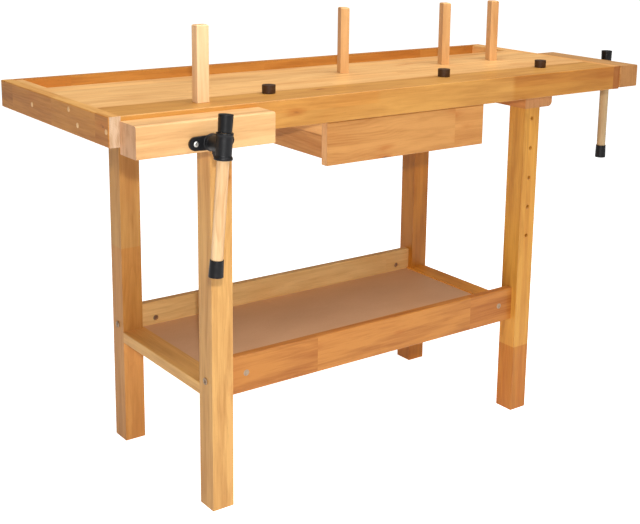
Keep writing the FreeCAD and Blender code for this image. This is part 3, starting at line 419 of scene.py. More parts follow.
@dataclass(frozen=True)
class Moulded:
    """Moulded plastic or rubber with a fine texture."""

    name: str
    colour: Colour = rgb(10, 10, 12)
    dust: Colour = rgb(40, 38, 38)
    rough: float = 0.38

    def material(self) -> Material:
        """Build the finish's material.

        Returns:
            Even dark colour with faint dust and a fine stipple.
        """
        graph = Graph(self.name)
        stipple = graph.noise((2400.0, 2400.0, 2400.0), 1.0)
        dust = graph.noise((90.0, 90.0, 140.0), 3.0).step(0.5, 0.8)
        colour = graph.mix(dust * 0.22, self.colour, self.dust)
        return graph.finish({"IOR": 1.4}, colour, dust * 0.12 + self.rough, stipple, 0.12 * MM)


@dataclass(frozen=True)
class Steel:
    """Bare or plated steel."""

    name: str
    colour: Colour = rgb(214, 212, 206)
    tarnish: Colour = rgb(150, 146, 138)
    rough: float = 0.28

    def material(self) -> Material:
        """Build the finish's material.

        Returns:
            Bright metal with cloudy tarnish and fine turning marks.
        """
        graph = Graph(self.name)
        cloud = graph.noise((110.0, 110.0, 110.0), 3.0)
        marks = graph.noise((2600.0, 2600.0, 900.0), 1.0)
        colour = graph.mix(cloud.step(0.4, 0.75) * 0.6, self.colour, self.tarnish)
        return graph.finish({"Metallic": 1.0}, colour, cloud * 0.2 + self.rough, marks, 0.08 * MM)


# ---- Meshes ----


def new_object(name: str, data: bpy.types.ID) -> Item:
    """Link data as an object at the origin.

    Args:
        name: The object's name.
        data: A mesh, lamp or camera.

    Returns:
        The object.
    """
    made = bpy.data.objects.new(name, data)
    bpy.context.scene.collection.objects.link(made)
    return made


def from_bmesh(name: str, shape: bmesh.types.BMesh) -> Item:
    """Turn a bmesh into an object with smooth shading that breaks at sharp edges.

    Args:
        name: The object's name.
        shape: The bmesh, which is freed.

    Returns:
        The object.
    """
    bmesh.ops.recalc_face_normals(shape, faces=shape.faces)
    mesh = bpy.data.meshes.new(name)
    shape.to_mesh(mesh)
    shape.free()
    shade(mesh)
    return new_object(name, mesh)


def shade(mesh: bpy.types.Mesh, angle: float = 32.0) -> None:
    """Shade a mesh smooth but for edges sharper than the angle in degrees."""
    mesh.shade_smooth()
    mesh.set_sharp_from_angle(angle=math.radians(angle))


def lathe(name: str, profile: Profile, sides: int = 64) -> Item:
    """Turn a profile about the Z axis.

    Args:
        name: The object's name.
        profile: (radius, height) pairs in millimetres; radius 0 closes an end.
        sides: Number of faces round the axis.

    Returns:
        The turned object.
    """
    shape = bmesh.new()
    angles = [math.tau * side / sides for side in range(sides)]
    rings = []
    for radius, height in profile:
        around = angles if radius else angles[:1]
        corners = [(radius * MM * math.cos(a), radius * MM * math.sin(a), height * MM) for a in around]
        rings.append([shape.verts.new(corner) for corner in corners])
    for low, high in zip(rings, rings[1:]):
        for side in range(sides):
            if len(low) == 1:
                shape.faces.new([low[0], high[side], high[side - 1]])
            elif len(high) == 1:
                shape.faces.new([low[side - 1], low[side], high[0]])
            else:
                shape.faces.new([low[side - 1], low[side], high[side], high[side - 1]])
    return from_bmesh(name, shape)


def rounded(profile: Profile, radius: float, steps: int = 3) -> list[tuple[float, float]]:
    """Round the inner corners of a profile.

    Args:
        profile: (radius, height) pairs.
        radius: Radius of the roundings.
        steps: Segments in each rounding.

    Returns:
        The profile with each corner replaced by a short curve.
    """
    points = [Vector(point) for point in profile]
    result = [points[0]]
    for before, corner, after in zip(points, points[1:], points[2:]):
        reach = min(radius, (before - corner).length * 0.45, (after - corner).length * 0.45)
        start = corner + (before - corner).normalized() * reach
        end = corner + (after - corner).normalized() * reach
        for step in range(steps + 1):
            share = step / steps
            result.append(start * (1 - share) ** 2 + corner * 2 * share * (1 - share) + end * share ** 2)
    result.append(points[-1])
    return [(point.x, point.y) for point in result]


def brick(size: Triple, centre: Triple) -> Item:
    """Make a rectangular cutting tool.

    Args:
        size: Its three sizes in millimetres.
        centre: Its centre in millimetres.

    Returns:
        The tool.
    """
    shape = bmesh.new()
    where = Matrix.Translation(Vector(centre) * MM) @ Matrix.Diagonal((*size, 1.0))
    bmesh.ops.create_cube(shape, size=MM, matrix=where)
    return from_bmesh("tool", shape)


def slab(name: str, outline: Profile, thickness: float) -> Item:
    """Raise a flat outline along Z.

    Args:
        name: The object's name.
        outline: Corners in the plane z = 0, in millimetres.
        thickness: Height in millimetres.

    Returns:
        The slab.
    """
    shape = bmesh.new()
    face = shape.faces.new([shape.verts.new((x * MM, y * MM, 0.0)) for x, y in outline])
    raised = bmesh.ops.extrude_face_region(shape, geom=[face])["geom"]
    top = [piece for piece in raised if isinstance(piece, bmesh.types.BMVert)]
    bmesh.ops.translate(shape, vec=(0.0, 0.0, thickness * MM), verts=top)
    return from_bmesh(name, shape)


def evaluated(item: Item) -> Item:
    """Apply an object's modifiers to its mesh.

    Args:
        item: The object.

    Returns:
        The object.
    """
    graph = bpy.context.evaluated_depsgraph_get()
    mesh = bpy.data.meshes.new_from_object(item.evaluated_get(graph), depsgraph=graph)
    item.modifiers.clear()
    item.data = mesh
    return item


def cut(item: Item, *tools: Item, operation: str = "DIFFERENCE") -> Item:
    """Cut tools out of an object, or join them to it, and remove them.

    Args:
        item: The object.
        tools: The other solids.
        operation: Boolean operation.

    Returns:
        The object.
    """
    for tool in tools:
        boolean = item.modifiers.new("cut", "BOOLEAN")
        boolean.object = tool
        boolean.operation = operation
        boolean.solver = "EXACT"
    evaluated(item)
    for tool in tools:
        bpy.data.objects.remove(tool)
    shade(item.data)
    return item


def joined(name: str, solids: Iterable[Item]) -> Item:
    """Put solids into one object.

    Args:
        name: The new object's name.
        solids: The solids, which are removed.

    Returns:
        The object.
    """
    shape = bmesh.new()
    for solid in solids:
        shape.from_mesh(solid.data)
        bpy.data.objects.remove(solid)
    return from_bmesh(name, shape)


def cast(name: str, solids: Iterable[Item], voxel: float, passes: int) -> Item:
    """Melt solids into one casting with soft fillets.

    Args:
        name: The casting's name.
        solids: Overlapping solids, which are removed.
        voxel: Size of the new mesh in millimetres.
        passes: Smoothing passes.

    Returns:
        The casting.
    """
    item = joined(name, solids)
    remesh = item.modifiers.new("melt", "REMESH")
    remesh.mode = "VOXEL"
    remesh.voxel_size = voxel * MM
    smooth = item.modifiers.new("soften", "SMOOTH")
    smooth.factor = 0.5
    smooth.iterations = passes
    evaluated(item)
    item.data.shade_smooth()
    return item


def placed(item: Item, *moves: Matrix) -> Item:
    """Move an object's mesh.

    Args:
        item: The object.
        moves: The moves; the last one comes first.

    Returns:
        The object.
    """
    for move in reversed(moves):
        item.data.transform(move)
    item.data.update()
    return item


def paint(item: Item, material: Material) -> None:
    """Give every face of an object one material.

    Args:
        item: The object.
        material: The material.
    """
    item.data.materials.clear()
    item.data.materials.append(material)
    for polygon in item.data.polygons:
        polygon.material_index = 0


def settle(item: Item, body: str, material: Material, slot: str, *nodes: str) -> Item:
    """Finish a new piece: paint it, let it ride and let it stand for CAD nodes.

    Args:
        item: The piece.
        body: The body that it rides on.
        material: Its finish.
        slot: Its material slot in the record; not used.
        nodes: The CAD nodes that it replaces.

    Returns:
        The piece.
    """
    paint(item, material)
    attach(item, body)
    if nodes:
        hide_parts(*nodes)
    LOG.info("%s on %s for %s", item.name, body, ", ".join(nodes) or "nothing")
    return item


def dress(finishes: Mapping[str, object]) -> None:
    """Give CAD nodes their materials.

    Args:
        finishes: The material of each node by name, or a finish that builds it.
    """
    for name, finish in finishes.items():
        material = finish if isinstance(finish, Material) else finish.material()
        paint(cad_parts[name], material)
        LOG.info("%s wears %s", name, material.name)


def match(pairs: Mapping[str, str]) -> None:
    """Give each CAD node the material of the node that it is paired with."""
    dress({name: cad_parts[like].data.materials[0] for name, like in pairs.items()})


def middle(node: str) -> Vector:
    """Middle of a CAD node's box."""
    low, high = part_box(node)
    return (Vector(low) + Vector(high)) / 2


# ---- Geometry Nodes ----


class NodeRecipe:
    """A Geometry Nodes tree with named inputs, whose result is baked into plain meshes."""

    def __init__(self, name: str, inputs: Mapping[str, str]) -> None:
        """Start a tree.

        Args:
            name: The tree's name.
            inputs: Kind of each named input, such as Float.
        """
        self.tree = bpy.data.node_groups.new(name, "GeometryNodeTree")
        self.tree.is_modifier = True
        self.tree.interface.new_socket("Geometry", in_out="INPUT", socket_type="NodeSocketGeometry")
        for label, kind in inputs.items():
            self.tree.interface.new_socket(label, in_out="INPUT", socket_type="NodeSocket" + kind)
        self.tree.interface.new_socket("Geometry", in_out="OUTPUT", socket_type="NodeSocketGeometry")
        self.source = self.tree.nodes.new("NodeGroupInput")

    def given(self, label: str) -> bpy.types.NodeSocket:
        """The tree's input with this label."""
        return self.source.outputs[label]

    def add(self, kind: str, inputs: Inputs = {}, **settings: object) -> bpy.types.Node:
        """Add a node to this tree with these inputs and settings."""
        return add_node(self.tree, kind, inputs, **settings)

    def close(self, geometry: bpy.types.Node) -> None:
        """End the tree in Realize Instances and Set Material.

        Args:
            geometry: The node with the finished geometry.
        """
        real = self.add("GeometryNodeRealizeInstances", {"Geometry": geometry})
        given = {"Geometry": real, "Material": self.given("Finish")}
        self.add("NodeGroupOutput", {0: self.add("GeometryNodeSetMaterial", given)})

    def bake(self, item: Item, values: Values) -> Item:
        """Run the tree on an object and keep the result as its mesh.

        Args:
            item: The object.
            values: Value of each named input.

        Returns:
            The object.
        """
        modifier = item.modifiers.new("recipe", "NODES")
        modifier.node_group = self.tree
        for socket in self.tree.interface.items_tree:
            if socket.in_out == "INPUT" and socket.name in values:
                modifier[socket.identifier] = values[socket.name]
        item.data.update()
        return evaluated(item)


class Fasteners(NodeRecipe):
    """Puts one fastener at every vertex of a mesh, facing along the vertex's own direction."""

    def __init__(self) -> None:
        """Build the tree: points, aligned and randomly turned instances."""
        super().__init__("fasteners", {
            "Fastener": "Object", "Scale": "Float", "Turn": "Float", "Seed": "Int", "Finish": "Material",
        })
        points = self.add("GeometryNodeMeshToPoints", {"Mesh": self.given("Geometry")})
        facing = self.add("GeometryNodeInputNamedAttribute", {"Name": "facing"}, data_type="FLOAT_VECTOR")
        aligned = self.add("FunctionNodeAlignRotationToVector", {"Vector": facing}, axis="Z")
        most = {3: self.given("Turn"), "Seed": self.given("Seed")}
        turn = self.add("FunctionNodeRandomValue", most, data_type="FLOAT")
        spin = self.add("FunctionNodeAxisAngleToRotation", {"Axis": (0.0, 0.0, 1.0), "Angle": turn.outputs[1]})
        turned = self.add("FunctionNodeRotateRotation", {0: aligned, 1: spin}, rotation_space="LOCAL")
        shape = self.add("GeometryNodeObjectInfo", {"Object": self.given("Fastener")}, transform_space="ORIGINAL")
        copies = self.add("GeometryNodeInstanceOnPoints", {
            "Points": points, "Instance": shape.outputs["Geometry"], "Rotation": turned, "Scale": self.given("Scale"),
        })
        self.close(copies)

    def drive(self, name: str, fastener: Item, places: Places, finish: Material, seed: int, node: str,
              slot: str = "zinc_hardware", body: str = "bench") -> None:
        """Put a fastener at every place, as one piece that stands for a CAD node.

        Args:
            name: Name of the new piece.
            fastener: The fastener, its head facing +Z from the origin; it is removed.
            places: (point, direction that the head faces) pairs.
            finish: The fasteners' material.
            seed: Seed of the random turn.
            node: The CAD node that the piece replaces.
            slot: The piece's material slot in the record.
            body: The body that it rides on.
        """
        mesh = bpy.data.meshes.new(name)
        mesh.from_pydata([point for point, _ in places], [], [])
        facing = mesh.attributes.new("facing", "FLOAT_VECTOR", "POINT")
        for entry, (_, direction) in zip(facing.data, places):
            entry.vector = direction
        values = {"Fastener": fastener, "Scale": 1.0, "Turn": math.tau, "Seed": seed, "Finish": finish}
        item = self.bake(new_object(name, mesh), values)
        bpy.data.objects.remove(fastener)
        shade(item.data)
        settle(item, body, finish, slot, node)


class ScrewThread(NodeRecipe):
    """Winds a ridge round a turned bar along Z."""

    def __init__(self) -> None:
        """Build the tree: a helix swept with a small wedge, joined to the bar."""
        super().__init__("screw_thread", {
            "Radius": "Float", "Start": "Float", "Length": "Float", "Turns": "Float", "Depth": "Float",
            "Finish": "Material",
        })
        helix = self.add("GeometryNodeCurveSpiral", {
            "Resolution": 20, "Rotations": self.given("Turns"), "Start Radius": self.given("Radius"),
            "End Radius": self.given("Radius"), "Height": self.given("Length"),
        })
        wedge = self.add("GeometryNodeCurvePrimitiveCircle", {"Resolution": 4, "Radius": self.given("Depth")})
        ridge = self.add("GeometryNodeCurveToMesh", {
            "Curve": helix, "Profile Curve": wedge, "Fill Caps": True,
        })
        lift = self.add("ShaderNodeCombineXYZ", {"Z": self.given("Start")})
        raised = self.add("GeometryNodeTransform", {"Geometry": ridge, "Translation": lift})
        joined = self.add("GeometryNodeJoinGeometry", {0: raised})
        self.tree.links.new(self.given("Geometry"), joined.inputs[0])
        self.close(joined)


# ---- Small fasteners ----


def pan_head_screw() -> Item:
    """Cross-recessed screw with a domed head on the plane z = 0."""
    profile = rounded([(0, -28), (0.6, -28), (2.2, -24), (2.2, 0), (5.5, 0), (5.2, 1.4), (3.4, 2.7), (0, 3.0)], 0.6)
    return cut(lathe("pan_head", profile, 40), brick((6.2, 1.1, 3), (0, 0, 3.1)), brick((1.1, 6.2, 3), (0, 0, 3.1)))


def socket_head_bolt() -> Item:
    """Flat-headed bolt with a hexagon socket, its head on the plane z = 0."""
    profile = rounded([(0, -90), (4, -90), (4, 0), (7.5, 0), (7.5, 2.5), (0, 2.5)], 0.9)
    return cut(lathe("socket_head", profile, 48), lathe("hexagon", [(0, 0.6), (2.9, 0.6), (2.9, 4), (0, 4)], 6))


def hexagon_bolt() -> Item:
    """Hexagon-headed bolt, its head below the plane z = 0."""
    bolt = lathe("hexagon_head", [(0, -50), (3, -50), (3, -4), (5.7, -4), (5.7, -0.3), (5.0, 0), (0, 0)], 6)
    return cut(bolt, lathe("washer", rounded([(0, -4), (6.0, -4), (6.0, -3.2), (0, -3.2)], 0.3), 36), operation="UNION")


def cross_dowel() -> Item:
    """Slotted cross dowel whose face lies on the plane z = 0."""
    profile = rounded([(0, -17), (7, -17), (7, 0.1), (0, 0.1)], 0.7)
    return cut(lathe("cross_dowel", profile, 48), brick((16, 1.6, 2), (0, 0, 0.4)))


def face_plug() -> Item:
    """Wooden plug with a slightly crowned face."""
    return lathe("face_plug", [(0, -8), (4.7, -8), (5.15, -1), (5.15, 0.1), (4.8, 0.3), (0, 0.45)], 40)


# ---- Sub-assemblies ----


@dataclass
class Palette:
    """Finishes that several sub-assemblies share."""

    zinc: Material = field(default_factory=Steel("bright_zinc").material)
    steel: Material = field(
        default_factory=Steel("turned_steel", rgb(190, 190, 190), rgb(120, 118, 116), 0.22).material)
    dull: Material = field(default_factory=Steel("dull_zinc", rgb(186, 164, 140), rgb(140, 120, 100), 0.5).material)
    iron: Material = field(default_factory=PaintedCasting("black_iron").material)
    rubber: Material = field(default_factory=Moulded("black_cap").material)
    board: Material = field(default_factory=Hardboard("brown_hardboard").material)


@dataclass
class BenchTop:
    """Glued-up top with its end caps, rear rail and tool tray."""

    palette: Palette
    fasteners: Fasteners
    strip: tuple[float, float] = (0.266, 0.614)
    amber_from: float = 1.011
    upper_strip: float = 0.833
    skin: float = 1.2 * MM
    plug_rows: tuple[tuple[float, float], ...] = ((0.010, 0.0285), (0.133, 0.036), (0.172, 0.011), (0.352, 0.0285))
    right_batten_row: tuple[float, float] = (0.185, 0.036)

    def build(self) -> None:
        """Dress the boards and plug the screws."""
        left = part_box("end_cap_left")[0][0]
        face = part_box("front_beam")[0][1] + self.skin
        start, end = (left + reach for reach in self.strip)
        strip = self.upper_strip
        amber = left + self.amber_from
        upper = Patch(rgb(255, 244, 228), (start, -FAR, strip), (end, face, FAR))
        right = Patch(rgb(238, 220, 176), (amber, -FAR, -FAR), (FAR, face, FAR))
        darker = Patch(rgb(242, 226, 212), (amber, -FAR, strip), (FAR, face, FAR))
        # Painted shade: the left cap's outward end face is darkened to stand for the shade that falls on it.
        shaded_outer_face = Patch(rgb(234, 212, 178), high=(left + self.skin, FAR, FAR), amount=1.0, edges=(0.4 * MM, 1.0, 1.0))
        dress({
            "front_beam": Timber("beam_timber", rgb(198, 143, 70), stave=0.1, stave_length=2.0, seed=3.0, knots=0.14,
                                 patches=(upper, right, darker)),
            "back_beam": Timber("back_beam_timber", rgb(238, 184, 116), stave=0.06, stave_length=0.7, seed=8.0),
            "top_panel": Timber("panel_timber", rgb(234, 183, 117), stave=0.043, stave_length=0.55, seed=5.0,
                                knots=0.12, warmth=0.16, tone=0.06, contrast=0.36),
            "end_cap_left": Timber("left_cap_timber", rgb(222, 166, 92), Grain.WIDTH, rgb(206, 180, 152), seed=11.0,
                                   stave_length=0.2, knots=0.5, contrast=0.55, patches=(shaded_outer_face,)),
            "end_cap_right": Timber("right_cap_timber", rgb(228, 170, 100), Grain.WIDTH, rgb(148, 79, 22), seed=12.0),
            "rear_rail": Timber("rail_timber", rgb(202, 136, 60), seed=14.0, stave_length=0.5),
            "tray_end_left": Timber("tray_block_timber", rgb(232, 180, 112), Grain.WIDTH, seed=15.0),
            "end_batten_left": Timber("batten_timber", rgb(232, 180, 112), Grain.WIDTH, seed=16.0),
            "tray_bottom": self.palette.board,
            "fixing_screws": self.palette.zinc,
        })
        match({"tray_end_right": "tray_end_left", "end_batten_right": "end_batten_left"})
        self.plug()

    def plug(self) -> None:
        """Set a pale plug over every screw in the end caps."""
        (left, front, _), (_, _, top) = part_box("end_cap_left")
        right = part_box("end_cap_right")[1][0]
        places = []
        for number, (back, down) in enumerate(self.plug_rows):
            places.append((Vector((left, front + back, top - down)), Vector((-1, 0, 0))))
            back, down = self.right_batten_row if number == 1 else (back, down)
            places.append((Vector((right, front + back, top - down)), Vector((1, 0, 0))))
        pale = Timber("plug_timber", rgb(240, 196, 138), Grain.HEIGHT, contrast=0.3).material()
        self.fasteners.drive("face_plugs", face_plug(), places, pale, 4, "end_cap_plugs", "pale_wood")


@dataclass
class Underframe:
    """Legs, bearers, rails, stretchers and shelf with their bolts."""

    palette: Palette
    fasteners: Fasteners
    dowel: float = 7 * MM
    washer: float = 6 * MM

    def build(self) -> None:
        """Dress the boards and drive the bolts."""
        low_amber = Patch(rgb(255, 234, 212), high=(FAR, FAR, 0.468))
        low_brown = Patch(rgb(228, 196, 160), high=(FAR, FAR, 0.168), amount=0.8)
        up, wide, ring = Grain.HEIGHT, Grain.WIDTH, 6 * MM
        dress({
            "leg_front_left": Timber("front_left_leg", rgb(222, 170, 99), up, seed=21.0, knots=0.3, ring=ring),
            "leg_back_left": Timber("back_left_leg", rgb(208, 158, 88), up, seed=22.0, ring=ring, patches=(low_amber,)),
            "leg_front_right": Timber("front_right_leg", rgb(216, 157, 67), up, seed=23.0, ring=ring, stave=0.025,
                                      patches=(low_brown,)),
            "leg_back_right": Timber("back_right_leg", rgb(196, 127, 39), up, seed=24.0, ring=ring),
            "bearer_left": Timber("bearer_timber", rgb(204, 140, 78), wide, rgb(196, 142, 92), seed=25.0),
            "side_rail_left": Timber("left_rail_timber", rgb(226, 176, 102), wide, seed=27.0, knots=0.35),
            "side_rail_right": Timber("right_rail_timber", rgb(241, 174, 74), wide, seed=28.0),
            "stretcher_front": Timber("front_stretcher_timber", rgb(197, 130, 58), seed=31.0, stave_length=0.45,
                                      knots=0.2, contrast=0.6),
            # Painted light: the back stretcher's pale base brightens it to make up for the shade under the top.
            "stretcher_back": Timber("back_stretcher_lightened_timber", rgb(254, 215, 147), seed=32.0, stave_length=0.5,
                                     contrast=0.34, ring=12 * MM),
            "shelf_panel": self.palette.board,
        })
        match({"bearer_right": "bearer_left"})
        self.bolt()

    def bolt(self) -> None:
        """Drive the frame bolts, their cross dowels and the bearer bolts."""
        bolts, barrels, uprights = (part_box(name) for name in ("frame_bolts", "barrel_nuts", "bearer_bolts"))
        height = (bolts[0][2] + bolts[1][2]) / 2
        ends = ((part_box("leg_front_left")[0][0], -1), (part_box("leg_front_right")[1][0], 1))
        heads = [
            (Vector((x, middle(leg).y, height)), Vector((side, 0, 0)))
            for leg in ("leg_front_left", "leg_back_left") for x, side in ends
        ]
        dowels = [
            (Vector((x, y, height)), Vector((0, side, 0)))
            for y, side in ((barrels[0][1], -1), (barrels[1][1], 1))
            for x in (barrels[0][0] + self.dowel, barrels[1][0] - self.dowel)
        ]
        seats = [
            (Vector((x, y, uprights[0][2])), Vector((0, 0, -1)))
            for x in (uprights[0][0] + self.washer, uprights[1][0] - self.washer)
            for y in (uprights[0][1] + self.washer, uprights[1][1] - self.washer)
        ]
        dull, zinc = self.palette.dull, self.palette.zinc
        self.fasteners.drive("frame_bolt_set", socket_head_bolt(), heads, dull, 2, "frame_bolts")
        self.fasteners.drive("cross_dowels", cross_dowel(), dowels, dull, 3, "barrel_nuts")
        self.fasteners.drive("bearer_bolt_set", hexagon_bolt(), seats, zinc, 5, "bearer_bolts")


@dataclass
class Drawer:
    """Hanging drawer and its runners."""

    palette: Palette

    def build(self) -> None:
        """Dress the boards."""
        dress({
            "drawer_front": Timber("drawer_front_timber", rgb(202, 144, 79), seed=41.0, knots=0.55),
            "drawer_side_left": Timber("drawer_side_timber", rgb(206, 152, 89), Grain.WIDTH, seed=42.0),
            "drawer_back": Timber("drawer_back_timber", seed=43.0),
            "drawer_runner_left": Timber("runner_timber", grain=Grain.WIDTH, seed=44.0),
            "drawer_bottom": self.palette.board,
        })
        match({"drawer_side_right": "drawer_side_left", "drawer_runner_right": "drawer_runner_left"})


@dataclass
class Vise:
    """Wooden jaw with its flange, screw, hub, sliding handle and guide rods.

    Sizes are in millimetres in the vise's own frame: the screw's axis is x = z = 0, the bench face is y = 0
    and the vise opens towards -Y.
    """

    name: str
    palette: Palette
    fasteners: Fasteners
    thread: ScrewThread
    origin: Vector
    jaw: Timber
    pale: Colour
    turn: float
    tilt: float
    handle: float
    wall: float
    rod_offset: float
    rod_lift: float
    jaw_gap: float = -0.4
    jaw_face: float = -62.4
    flange: float = 6.0
    boss: float = 6.0
    ear: float = 13.0
    ear_reach: float = 34.0
    disc: float = 14.0
    hub_reach: float = 47.6
    hub_half: float = 25.0
    travel: float = 126.25
    cap: float = 33.0
    skirt: float = 26.0
    clearance: float = 0.3
    pitch: float = 5.0
    socket: float = 45.0
    screw_head: float = 16.0
    screw_tail: float = 21.0
    rod_tail: float = 2.0
    thread_gap: float = 24.0
    bar_inset: float = 7.0
    web_width: float = 20.0
    voxel: float = 0.7

    def place(self) -> Matrix:
        """Move from the vise's own frame to the bench."""
        return Matrix.Translation(self.origin) @ Matrix.Rotation(self.turn, 4, "Z")

    def lean(self, height: float = 0.0) -> Matrix:
        """Move from a piece turned about Z to its place on the leaning handle's axis.

        Args:
            height: How far above the screw, in millimetres.

        Returns:
            The move.
        """
        hub = Matrix.Translation((0, (self.jaw_face - self.hub_reach) * MM, 0))
        up = Matrix.Translation((0, 0, height * MM))
        return self.place() @ hub @ Matrix.Rotation(math.radians(self.tilt), 4, "Y") @ up

    def along(self, x: float, y: float, z: float) -> Matrix:
        """Move from a piece turned about Z to one along +Y that starts at a point."""
        return self.place() @ Matrix.Translation((x * MM, y * MM, z * MM)) @ Matrix.Rotation(-math.pi / 2, 4, "X")

    def build(self) -> None:
        """Build and dress every piece."""
        dress({self.name + "_jaw": self.jaw.material(), self.name + "_nut": self.palette.iron})
        self.build_flange()
        self.build_hub()
        self.build_screw()
        self.build_rods()
        self.build_handle()

    def outline(self) -> list[tuple[float, float]]:
        """Draw the outline of the flange.

        Returns:
            A disc with an ear on each side, joined by straight tangents.
        """
        lean = math.acos((self.disc - self.ear) / self.ear_reach)
        wide, narrow, reach = 2 * lean, math.pi - 2 * lean, self.ear_reach
        arcs = (
            (reach, self.ear, -lean, wide, 24), (0.0, self.disc, lean, narrow, 6),
            (-reach, self.ear, math.pi - lean, wide, 24), (0.0, self.disc, math.pi + lean, narrow, 6),
        )
        return [
            (x + size * math.cos(start + sweep * step / steps), size * math.sin(start + sweep * step / steps))
            for x, size, start, sweep, steps in arcs for step in range(steps)
        ]

    def build_flange(self) -> None:
        """Cast flange with its two ears and their screws."""
        face = self.jaw_face - self.flange
        boss = [(0, -self.boss), (15.6, -self.boss), (15.9, -3.5), (17.2, 0), (17.2, 2), (0, 2)]
        solids = [slab("plate", self.outline(), self.flange), lathe("raised_boss", boss)]
        plate = cast(self.name + "_flange_casting", solids, self.voxel, 4)
        cut(plate, lathe("way", [(0, -20), (9.3, -20), (9.3, 20), (0, 20)]))
        plate.data.shade_smooth()
        placed(plate, self.along(0, face, 0))
        settle(plate, self.name + "_jaw", self.palette.iron, "black_casting", self.name + "_flange")
        outwards = self.place().to_3x3() @ Vector((0, -1, 0))
        spots = [(self.place() @ Vector((side * self.ear_reach * MM, face * MM, 0)), outwards) for side in (-1, 1)]
        self.fasteners.drive(self.name + "_pan_head_screws", pan_head_screw(), spots, self.palette.zinc, 6,
                             self.name + "_flange_screws", body=self.name + "_jaw")

    def build_hub(self) -> None:
        """Cast sleeve for the handle with its neck towards the flange."""
        half = self.hub_half
        flare = [(0, -half), (17.5, -half), (17.5, -half + 4), (15.2, -half + 8)]
        rim = [(15.2, half - 6), (16.2, half - 4), (16.2, half), (0, half)]
        sleeve = lathe("sleeve", flare + rim)
        reach = self.hub_reach - self.flange - self.boss - self.clearance
        neck = lathe("neck", [(0, 0), (15, 0), (15.5, reach), (0, reach)])
        placed(neck, Matrix.Rotation(-math.pi / 2, 4, "X"))
        web = slab("web", [(8, -half + 1), (18, -half + 1), (26, -14), (26, 10), (8, 14)], self.web_width)
        placed(web, Matrix(((0, 0, 1, -self.web_width / 2 * MM), (1, 0, 0, 0), (0, 1, 0, 0), (0, 0, 0, 1))))
        hub = cast(self.name + "_hub_casting", [sleeve, neck, web], self.voxel, 6)
        cut(hub, lathe("way", [(0, -40), (11.8, -40), (11.8, 40), (0, 40)]))
        shade(hub.data, 50)
        placed(hub, self.lean())
        settle(hub, self.name + "_screw", self.palette.iron, "black_casting", self.name + "_hub")

    def build_screw(self) -> None:
        """Turned screw with its collar and a wound thread."""
        start = self.jaw_face - self.hub_reach + self.screw_head
        collar = self.jaw_face + self.clearance - start
        end = self.wall + self.travel + self.screw_tail - start
        thread = collar + self.thread_gap
        turns = (end - 3 - thread) / self.pitch
        front = [(0, 0), (9, 0), (9, collar), (13, collar), (13, collar + 5), (9, collar + 5)]
        back = [(9, thread - 2), (7.9, thread), (7.9, end - 2), (6, end), (0, end)]
        bar = lathe(self.name + "_threaded_screw", rounded(front + back, 0.5), 48)
        screw = self.thread.bake(bar, {
            "Radius": 8.0 * MM, "Start": thread * MM, "Length": (turns * self.pitch - 1) * MM, "Turns": turns,
            "Depth": 0.95 * MM, "Finish": self.palette.steel,
        })
        shade(screw.data, 40)
        placed(screw, self.along(0, start, 0))
        settle(screw, self.name + "_screw", self.palette.steel, "bright_steel", self.name + "_screw")

    def build_rods(self) -> None:
        """Two plain guide rods with bevelled tails."""
        start = self.jaw_gap - self.socket
        length = self.wall + self.travel + self.rod_tail - start
        outline = [(0, 0), (8, 0), (8, length - 1.5), (6.5, length), (0, length)]
        rods = joined(self.name + "_bright_rods", [
            placed(lathe("rod", outline, 56), self.along(side * self.rod_offset, start, self.rod_lift))
            for side in (-1, 1)
        ])
        settle(rods, self.name + "_jaw", self.palette.steel, "bright_steel", self.name + "_guide_rods")

    def build_handle(self) -> None:
        """Turned wooden bar and its two flared caps."""
        top = self.hub_half + self.clearance + self.cap
        low = top - self.handle
        length = self.handle - 2 * self.bar_inset
        bar = lathe(self.name + "_turned_bar", rounded([(0, 0), (11.5, 0), (11.5, length), (0, length)], 1.5), 64)
        placed(bar, self.lean(low + self.bar_inset))
        wood = Timber(self.name + "_handle_timber", self.pale, Grain.HEIGHT, warmth=0.12, seed=51.0, contrast=0.5)
        settle(bar, self.name + "_handle", wood.material(), "pale_wood", self.name + "_handle_bar")
        end = self.cap
        skirt = [(11.55, self.skirt), (11.55, 0), (12.9, 0), (13.1, 2), (13.95, end - 1), (13.95, end), (0, end)]
        profile = [(0, self.skirt)] + rounded(skirt, 1.6, 4)
        caps = joined(self.name + "_end_caps", [
            placed(lathe("cap", profile, 56), self.lean(height), Matrix.Rotation(flip, 4, "X"))
            for height, flip in ((top - end, 0.0), (low + end, math.pi))
        ])
        settle(caps, self.name + "_handle", self.palette.rubber, "black_plastic", self.name + "_handle_caps")


@dataclass
class DogsAndPegs:
    """Round bench dogs and square wooden pegs."""

    dogs: tuple[str, ...] = ("dog_1", "dog_2", "dog_3")
    pegs: tuple[str, ...] = ("peg_1", "peg_2", "peg_3", "peg_4")
    shank: float = 40.3
    head: float = 17.5

    def build(self) -> None:
        """Turn the dogs and dress the pegs."""
        dark = Moulded("dog_plastic", rgb(64, 40, 20), rgb(120, 88, 56), 0.5).material()
        neck, top = self.shank, self.shank + self.head
        outline = [(0, 0), (8.9, 0), (8.98, 2), (8.98, neck), (13.7, neck), (14, top - 1), (14, top), (0, top - 0.4)]
        for name in self.dogs:
            spot = middle(name)
            spot.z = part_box(name)[0][2]
            dog = placed(lathe(name + "_round", rounded(outline, 1.2), 56), Matrix.Translation(spot))
            settle(dog, name, dark, "dark_dog", name)
        for number, name in enumerate(self.pegs):
            base = rgb(254, 212, 162) if number == 0 else rgb(230, 180, 120)
            wood = Timber(name + "_timber", base, Grain.HEIGHT, warmth=0.15, seed=61.0 + number, contrast=0.3)
            dress({name: wood.material()})


